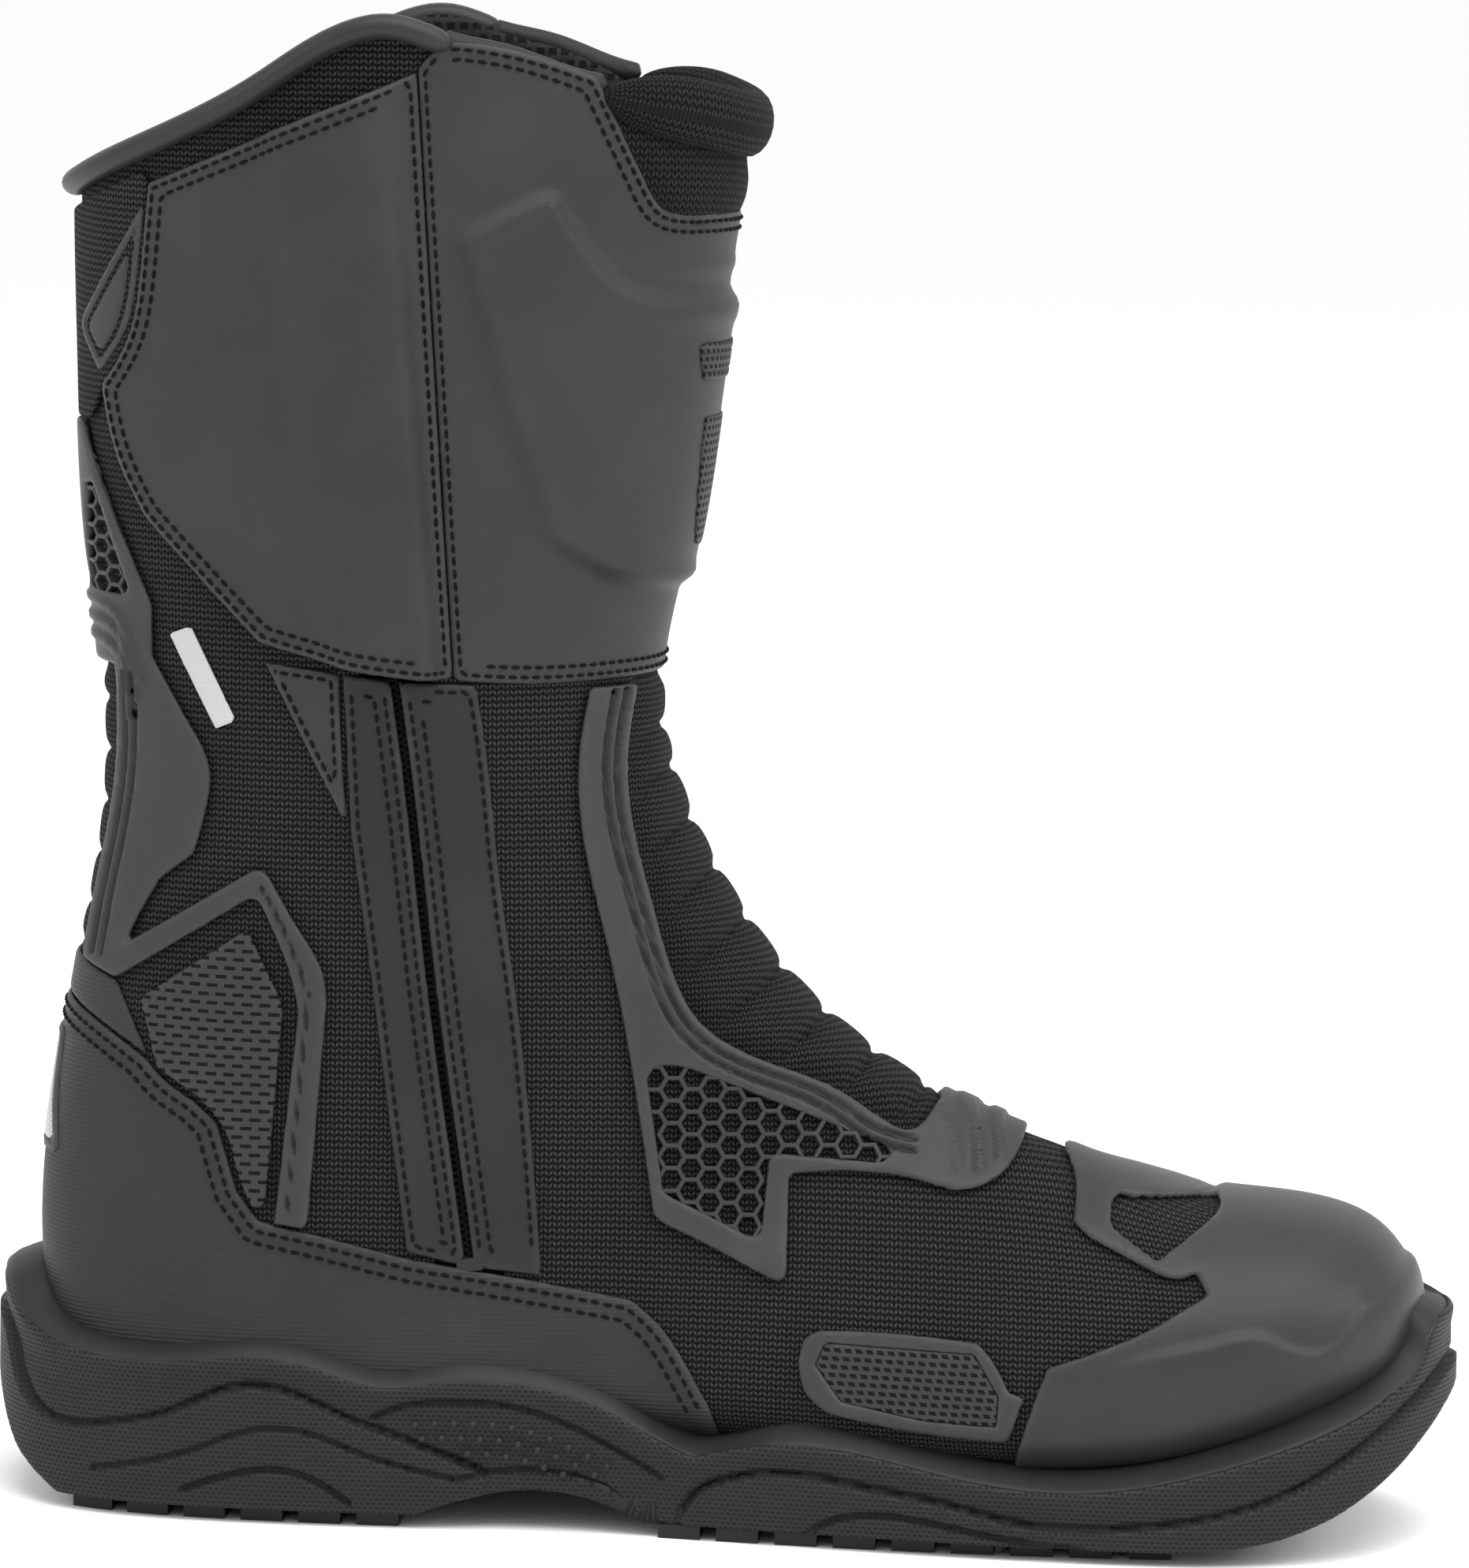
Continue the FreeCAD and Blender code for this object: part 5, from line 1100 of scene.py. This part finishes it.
knit_front = panel("collar_knit_front", KNIT_FRONT, -0.9, 1.0, drop=0.2,
                   shape=lambda x, z, depth, far: 1.3 * soft(depth, 0, 7))
settle(knit_front, mesh_cloth, ["front_collar_knit"])
KNIT_REAR = [(-124, 286.6), [(-138, 280), (-150, 272.5)], (BACK, 272), (BACK, 233.2), (-137, 233.2),
             (-133.6, 241), [(-127.5, 250.5), (-124.2, 267), (-123, 284.6)]]
knit_rear = panel("collar_knit_rear", KNIT_REAR, 0.4, 1.4, drop=0.2)
settle(knit_rear, weave, ["rear_collar_knit"])

# %% [markdown]
# The collar is soft. A rolled rear rim, a thin bound rim at each side and a thick mesh-covered roll
# at the front are each a tube swept along the collar's line. The sections of the two padded rolls
# are drawn full, so no cloth simulation is needed.

# %% Tubes along the collar
top_line, base_line = drawn([(-150, 281), COLLAR_TOP], False), drawn([(-150, 273), COLLAR_BASE], False)


def collar_track(share, low_x, high_x, side=None):
    """points round the collar at a share of the way from its base to its top: (point, outward)"""
    found = []
    x, z = LAST.points[..., 0], LAST.points[..., 2]
    wanted = (1 - share) * np.interp(x, base_line[:, 0], base_line[:, 1]) + share * np.interp(x, top_line[:, 0], top_line[:, 1])
    over = z - wanted
    for column in range(2 * HALF):
        passed = np.nonzero((over[:-1, column] > 0) & (over[1:, column] <= 0))[0]
        if len(passed) == 0:
            continue
        i = passed[0]
        t = over[i, column] / (over[i, column] - over[i + 1, column])
        point = LAST.points[i, column] * (1 - t) + LAST.points[i + 1, column] * t
        if low_x <= point[0] <= high_x:
            found.append((column, point, LAST.normal[i, column]))
    return found


def tube(name, track, level, half_thick, half_high, sides=16, taper=5.0):
    """a closed tube of oval section along a track of the skin, its ends rounded"""
    points = np.array([p for _, p, _ in track])
    outs = np.array([n for _, _, n in track])
    forward = np.gradient(points, axis=0)
    forward /= np.linalg.norm(forward, axis=1, keepdims=True)
    upward = np.cross(outs, forward)
    upward /= np.linalg.norm(upward, axis=1, keepdims=True)
    upward *= np.sign(upward[:, 2:3])
    walked = np.r_[0, np.cumsum(np.linalg.norm(np.diff(points, axis=0), axis=1))]
    from_end = np.minimum(walked, walked[-1] - walked)
    swell = np.sqrt(np.clip(1 - (1 - np.clip(from_end / taper, 0, 1)) ** 2, 0.02, 1))
    a = np.linspace(0, 2 * math.pi, sides, endpoint=False)
    rings = (points[:, None] + outs[:, None] * (level + swell[:, None] * half_thick * np.cos(a))[..., None]
             + upward[:, None] * (swell[:, None] * half_high * np.sin(a))[..., None])
    n = len(points)
    faces = [[i * sides + k, i * sides + (k + 1) % sides, (i + 1) * sides + (k + 1) % sides, (i + 1) * sides + k]
             for i in range(n - 1) for k in range(sides)]
    faces += [list(range(sides)), [(n - 1) * sides + k for k in range(sides - 1, -1, -1)]]
    around = np.stack([np.repeat(walked, sides), np.tile(a * (half_thick + half_high) / 2, n)], 1)
    piece = mesh_piece(name, rings.reshape(-1, 3), faces, cloth=around, rim=np.zeros(n * sides))
    return tidy_normals(piece)


def in_order(track, first_column):
    """the track's points in order round the boot, starting after a column"""
    return sorted(track, key=lambda item: (item[0] - first_column) % (2 * HALF))


# %% The rear roll, the bound side rims and the front pad
rear_roll = tube("collar_roll_rear", in_order(collar_track(0.66, -200, -57), HALF), -0.2, 3.2, 2.7)
settle(rear_roll, roll_cover, ["rear_collar_roll", "collar_padding"])
for side, columns in (("near", range(0, HALF)), ("far", range(HALF, 2 * HALF))):
    part = [item for item in collar_track(0.7, -60.5, -24) if item[0] in columns]
    rim_tube = tube(f"collar_rim_{side}", in_order(part, 0), -3.0, 2.6, 2.3, taper=2.0)
    settle(rim_tube, strip_leather, ["front_rim_binding"])
front_pad = tube("collar_pad_front", in_order(collar_track(0.4, -28, 200), 0), -0.8, 4.6, 7.0, sides=20, taper=24.0)
settle(front_pad, mesh_cloth, ["front_collar_pad"])

# %% [markdown]
# The sole's side is a second surface: its plan is a closed curve, drawn upwards. The same panel
# cutting gives it the wavy bands, grooves and mounds. With a welt above and a base below it stands
# for the frame's midsole and outsole; the frame's own lugs carry the tread.

# %% The sole's side surface
PLAN = [(-157, 0), (-154, 17), (-145, 31), (-128, 40.5), (-105, 44.7), (-75, 46.2), (-45, 46.4), (-15, 48.3), (15, 51.8),
        (45, 54), (75, 54.5), (100, 53), (120, 48.5), (138, 38), (150, 22.5), (157, 0)]
ring = np.array([(x, -y) for x, y in PLAN] + [(x, y) for x, y in PLAN[-2:0:-1]], float)
ring = np.concatenate([ring[-4:], ring, ring[:5]])
knots = np.r_[0, np.cumsum(np.linalg.norm(np.diff(ring, axis=0), axis=1))]
plan = curve_through(knots, ring, np.linspace(knots[4], knots[-5], 741))[:-1]
plan[:, 1] += curve_through(SWING_X, np.array(SWING_Y)[:, None], plan[:, 0])[:, 0]
levels = np.arange(62, -4, -1.0)
wall_points = np.stack([np.tile(plan[:, 0], (len(levels), 1)), np.tile(plan[:, 1], (len(levels), 1)),
                        np.repeat(levels[:, None], len(plan), 1)], -1)
around = np.r_[0, np.cumsum(np.linalg.norm(np.diff(plan, axis=0), axis=1))]
WALL = Skin(wall_points, np.stack([np.tile(around, (len(levels), 1)), wall_points[..., 2]], -1), True)
WALL.normal *= np.sign((WALL.normal[..., 1] * WALL.points[..., 1]).sum())

# %% The sole's side, with its bands and grooves
RIM = [(153, 48), (151, 42), (144, 34), (130, 27.5), (108, 20.5), (88, 16), (71, 15), (50, 17.5), (28, 21.5),
       (12, 21.5), (-3, 18)]
RIM_ARCH = [(-10, 21), (-20, 26.5), (-30, 30), (-43, 32.3), (-55, 32.5)]
RIM_HEEL = [(-63, 31), (-69, 30.5), (-83, 34), (-95, 36), (-115, 34.5), (-131, 34.5), (-142, 36.5), (-150, 40.5), (-155, 46.5)]
SIDEWALL = [(-162, 36), [(-156.5, 24), (-151, 12), (-141, 3)], (-62, 3), [(-52, 6.5), (-37, 9), (-23, 7), (-13, 3)],
            (102, 3), [(124, 6.5), (137, 12.5), (148, 21), (160, 35.5)], (162, 49), RIM, RIM_ARCH, RIM_HEEL, (-162, 47.5)]
HEEL_BAND = [(-162, 44), [(-153.5, 37.5), (-148.2, 24.5), (-143, 20.4), (-127.7, 20.4), (-115.6, 23.4), (-100.5, 29.6),
             (-93.7, 29.8), (-86.8, 28), (-77.8, 24.1), (-67.1, 20.4), (-47.4, 12.9)]]
HEEL_WAVE = [(-131.6, 10.2), [(-118.7, 12.9), (-109.5, 15.8), (-97.5, 20.4), (-92.2, 21.1), (-85.2, 20.4), (-74.7, 16.7),
             (-54.2, 11.4)]]
HEEL_MOUND = [(-112, 7), [(-102, 10.5), (-93.7, 12.1), (-86.8, 11.4), (-76, 5.5)]]
ARCH = [(-71.3, 23.6), [(-65.4, 26.3), (-54, 27.5), (-42.8, 27.1), (-31.6, 24.1), (-20.2, 19), (-9.5, 13.1)]]
ARCH_FOOT = [(-53.5, 11.2), [(-45, 12.9), (-37.2, 13.4), (-28.7, 12.6), (-20.2, 9.5), (-16.1, 5.3)]]
BALL_BAND = [(-5.4, 5.4), [(-2.2, 10.2), (5.1, 13.9), (15.8, 15.8), (33.8, 13.9), (50.9, 11.4), (65.7, 8.2), (87.1, 7.8),
             (108.8, 11), (130, 19), (146, 30), (160, 42)]]
BALL_MOUND = [(20.6, 2), [(25.3, 5.5), (33.8, 8), (44.5, 7.8), (60.4, 5.2), (80.7, 3.2)]]
heel_band, ball_band, arch_line = drawn(HEEL_BAND, False), drawn(BALL_BAND, False), drawn(ARCH, False)


def sole_relief(x, z, depth, far):
    """the outsole's bands stand out from the midsole, and the rim has a bead"""
    band = soft(np.interp(x, heel_band[:, 0], heel_band[:, 1], right=-9) - z, -0.5, 0.8)
    ball = soft(np.interp(x, ball_band[:, 0], ball_band[:, 1], left=-9) - z, -0.5, 0.8)
    arch = soft(np.interp(x, arch_line[:, 0], arch_line[:, 1], left=-9, right=-9) - z, -0.5, 0.8)
    under = -1.4 * soft(12 - z, 0, 12) * (1 - 0.4 * ball)
    hollow = -0.8 * np.exp(-((depth - 7) / 4) ** 2) * (1 - np.maximum(band, ball))
    return 0.9 * np.maximum(band, ball) - 0.5 * arch * (1 - band) * (1 - ball) + under + hollow


sidewall = panel("sole_sidewall", SIDEWALL, 0.3, 3.2, skin=WALL, drop=1.2, shape=sole_relief,
                 lines=[(HEEL_BAND, 1.7, 1.1), (HEEL_WAVE, 1.6, 1.0), (HEEL_MOUND, 1.8, 1.2), (ARCH, 1.6, 1.0),
                        (ARCH_FOOT, 1.6, 1.0), (BALL_BAND, 1.7, 1.1), (BALL_MOUND, 1.8, 1.2)])
settle(sidewall, rubber, ["midsole"])

# %% The welt: it fills the space between the sole's side and the upper
count = 2 * HALF
quads = [(r * count + c, r * count + (c + 1) % count, (r + 1) * count + (c + 1) % count, (r + 1) * count + c)
         for r in range(ROWS - 1) for c in range(count)]
last_tree = BVHTree.FromPolygons([tuple(p) for p in LAST.points.reshape(-1, 3)], quads)
rim_line = drawn([(-158, 49), RIM_HEEL[::-1] + RIM_ARCH[::-1] + RIM[::-1] + [(158, 49)]], False)
inward = -WALL.normal[0]
outer = plan - inward[:, :2] * 0.3
rise = np.interp(outer[:, 0], rim_line[:, 0], rim_line[:, 1])
profile = [(0.04, -1.6), (0.04, -0.7), (0.2, 0.6), (0.5, 1.9), (0.8, 3.0), (1.0, 3.4), (1.0, -3.0)]
grid = []
for (x, y), z, direction in zip(outer, rise, inward):
    hit = last_tree.ray_cast((x, y, z - 1.0), tuple(direction))
    reach = min(hit[3] if hit[0] is not None else 9.0, 11.0) + 0.8
    grid.append([(x + direction[0] * reach * s, y + direction[1] * reach * s, z + lift) for s, lift in profile])
grid = np.array(grid)
n, m = grid.shape[:2]
welt = mesh_piece("sole_welt", grid.reshape(-1, 3),
                  [[i * m + k, ((i + 1) % n) * m + k, ((i + 1) % n) * m + (k + 1) % m, i * m + (k + 1) % m]
                   for i in range(n) for k in range(m)],
                  cloth=np.stack([np.repeat(np.arange(n), m) * 1.2, np.tile(np.arange(m) * 1.0, n)], 1))
settle(tidy_normals(welt), smooth_rubber)

# %% The tread's base: the sole's underside, following its plan and its rise at heel, arch and toe
underside = drawn([SIDEWALL[0], *SIDEWALL[1:7]], False)
grid = []
for x in np.linspace(-156.9, 156.9, 260):
    half_plan = np.interp(x, *np.array(sorted((px, abs(py)) for px, py in np.c_[plan[:, 0], plan[:, 1] - np.interp(
        plan[:, 0], SWING_X, SWING_Y)])).T) - 1.2
    middle = np.interp(x, SWING_X, SWING_Y)
    z = np.interp(x, underside[:, 0], underside[:, 1])
    grid.append([(x, middle + max(half_plan, 0.2) * t, z) for t in np.linspace(-1, 1, 25)])
grid = np.array(grid)
n, m = grid.shape[:2]
base = mesh_piece("tread_base", grid.reshape(-1, 3),
                  [[i * m + k, (i + 1) * m + k, (i + 1) * m + k + 1, i * m + k + 1]
                   for i in range(n - 1) for k in range(m - 1)],
                  cloth=grid.reshape(-1, 3)[:, :2])
base.data.flip_normals()
slab = base.modifiers.new("Thickness", "SOLIDIFY")
slab.thickness, slab.offset = 0.004, -1
apply_all(base)
settle(tidy_normals(base), rubber, ["outsole"])

# %% Small bumps in the arch
bpy.ops.mesh.primitive_uv_sphere_add(segments=8, ring_count=6, radius=0.85)
bump = bpy.context.object
bump_points = np.array([v.co[:] for v in bump.data.vertices])
bump_faces = [tuple(p.vertices) for p in bump.data.polygons]
bpy.data.objects.remove(bump)
frames = []
for far in (False, True):
    for row in range(3):
        for k in range(11 - row):
            x = -62 + 4.1 * k + 1.5 * row
            z = np.interp(x, arch_line[:, 0], arch_line[:, 1]) - 4.2 - 3.2 * row
            if z < 12.5 or z < np.interp(x, heel_band[:, 0], heel_band[:, 1], right=-9) + 1.5:
                continue
            point, out = place_on(WALL, x, z, far)
            along = np.cross(out, (0, 0, 1))
            frames.append((point + out * 0.8, along, np.array((0, 0, 1.0)), out))
settle(copies("arch_bumps", bump_points, bump_faces, frames), smooth_rubber)

# %% [markdown]
# Parts of the frame whose shape is right stay as they are and only get a finish: the tread, the
# stiffeners and the zip's metal parts. A small bevel softens the tread bars.

# %% Finishes for the frame's own parts
finish_for = {
    "heel_lugs": smooth_rubber, "forefoot_lugs": smooth_rubber, "shank": steel,
    "lasting_board": board, "toe_puff": foam, "heel_counter": foam, "shin_guard_plate": foam,
    "zip_bottom_stop": smooth_rubber, "zip_top_stops": smooth_rubber, "zip_slider": steel, "zip_puller": steel}
for name, material in finish_for.items():
    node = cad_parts[name]
    node.data.materials.clear()
    node.data.materials.append(material)
    if name in ("heel_lugs", "forefoot_lugs"):
        soften = node.modifiers.new("Rounding", "BEVEL")
        soften.width, soften.segments, soften.limit_method = 0.0005, 2, "ANGLE"

# %% All the stitches, one mesh for each way of moving
for name, group_key, body in (("stitching_upper", "upper", None), ("stitching_flap", "flap", "flap")):
    laid = thread[group_key]
    points = np.concatenate(laid)
    faces = [[i + k * len(STITCH_POINTS) for i in f] for k in range(len(laid)) for f in STITCH_FACES]
    stitching = mesh_piece(name, points, faces, cloth=points[:, [0, 2]])
    settle(tidy_normals(stitching), thread_finish, body=body)
    print(name, len(laid), "stitches")

# %% [markdown]
# The boot stands on a pale floor under soft light: a broad light above, one from each side and a
# bright surround. The camera is far off with a long lens, a little above the boot and turned a few
# degrees towards the toe.

# %% Floor
bpy.ops.object.select_all(action="DESELECT")
bpy.ops.mesh.primitive_plane_add(size=60, location=(0, 0, 0))
floor = bpy.context.object
floor.name = "studio_floor"
pale, net, inputs = new_finish("pale floor", 0.9, specular=0.1)
inputs["Base Color"].default_value = (0.97, 0.97, 0.97, 1)
floor.data.materials.append(pale)

# %% Light
world = bpy.data.worlds.new("studio")
world.use_nodes = True
world.node_tree.nodes["Background"].inputs["Color"].default_value = (1, 1, 1, 1)
world.node_tree.nodes["Background"].inputs["Strength"].default_value = 1.0
bpy.context.scene.world = world
for name, place, size, power in (("overhead", (0.2, -0.5, 1.5), 1.4, 22), ("left", (-1.4, -0.9, 0.9), 0.9, 6),
                                 ("right", (1.5, -0.5, 1.1), 0.9, 12)):
    light = bpy.data.lights.new(name, "AREA")
    light.size, light.energy = size, power
    lamp = bpy.data.objects.new(name, light)
    lamp.location = place
    lamp.rotation_mode = "QUATERNION"
    lamp.rotation_quaternion = (Vector((0, 0, 0.15)) - Vector(place)).to_track_quat("-Z", "Y")
    bpy.context.scene.collection.objects.link(lamp)

# %% Camera
TURN, RAISE, ROLL = math.radians(4.5), math.radians(7.0), math.radians(1.0)
DISTANCE, AIM = 1.7, Vector((0, 0, 0.156))
PICTURE_HEIGHT_AT_AIM = 0.3376
back = Vector((math.sin(TURN) * math.cos(RAISE), -math.cos(TURN) * math.cos(RAISE), math.sin(RAISE)))
right = (-back).cross(Vector((0, 0, 1))).normalized()
upward = right.cross(-back)
right, upward = (math.cos(ROLL) * right + math.sin(ROLL) * upward, -math.sin(ROLL) * right + math.cos(ROLL) * upward)
camera = bpy.data.objects.new("camera", bpy.data.cameras.new("camera"))
camera.matrix_world = Matrix.Translation(AIM + back * DISTANCE) @ Matrix((right, upward, back)).transposed().to_4x4()
camera.data.sensor_width = 36
camera.data.lens = 36 * DISTANCE / PICTURE_HEIGHT_AT_AIM
camera.data.clip_start, camera.data.clip_end = 0.05, 100
bpy.context.scene.collection.objects.link(camera)
bpy.context.scene.camera = camera
bpy.context.scene.view_settings.view_transform = "Standard"
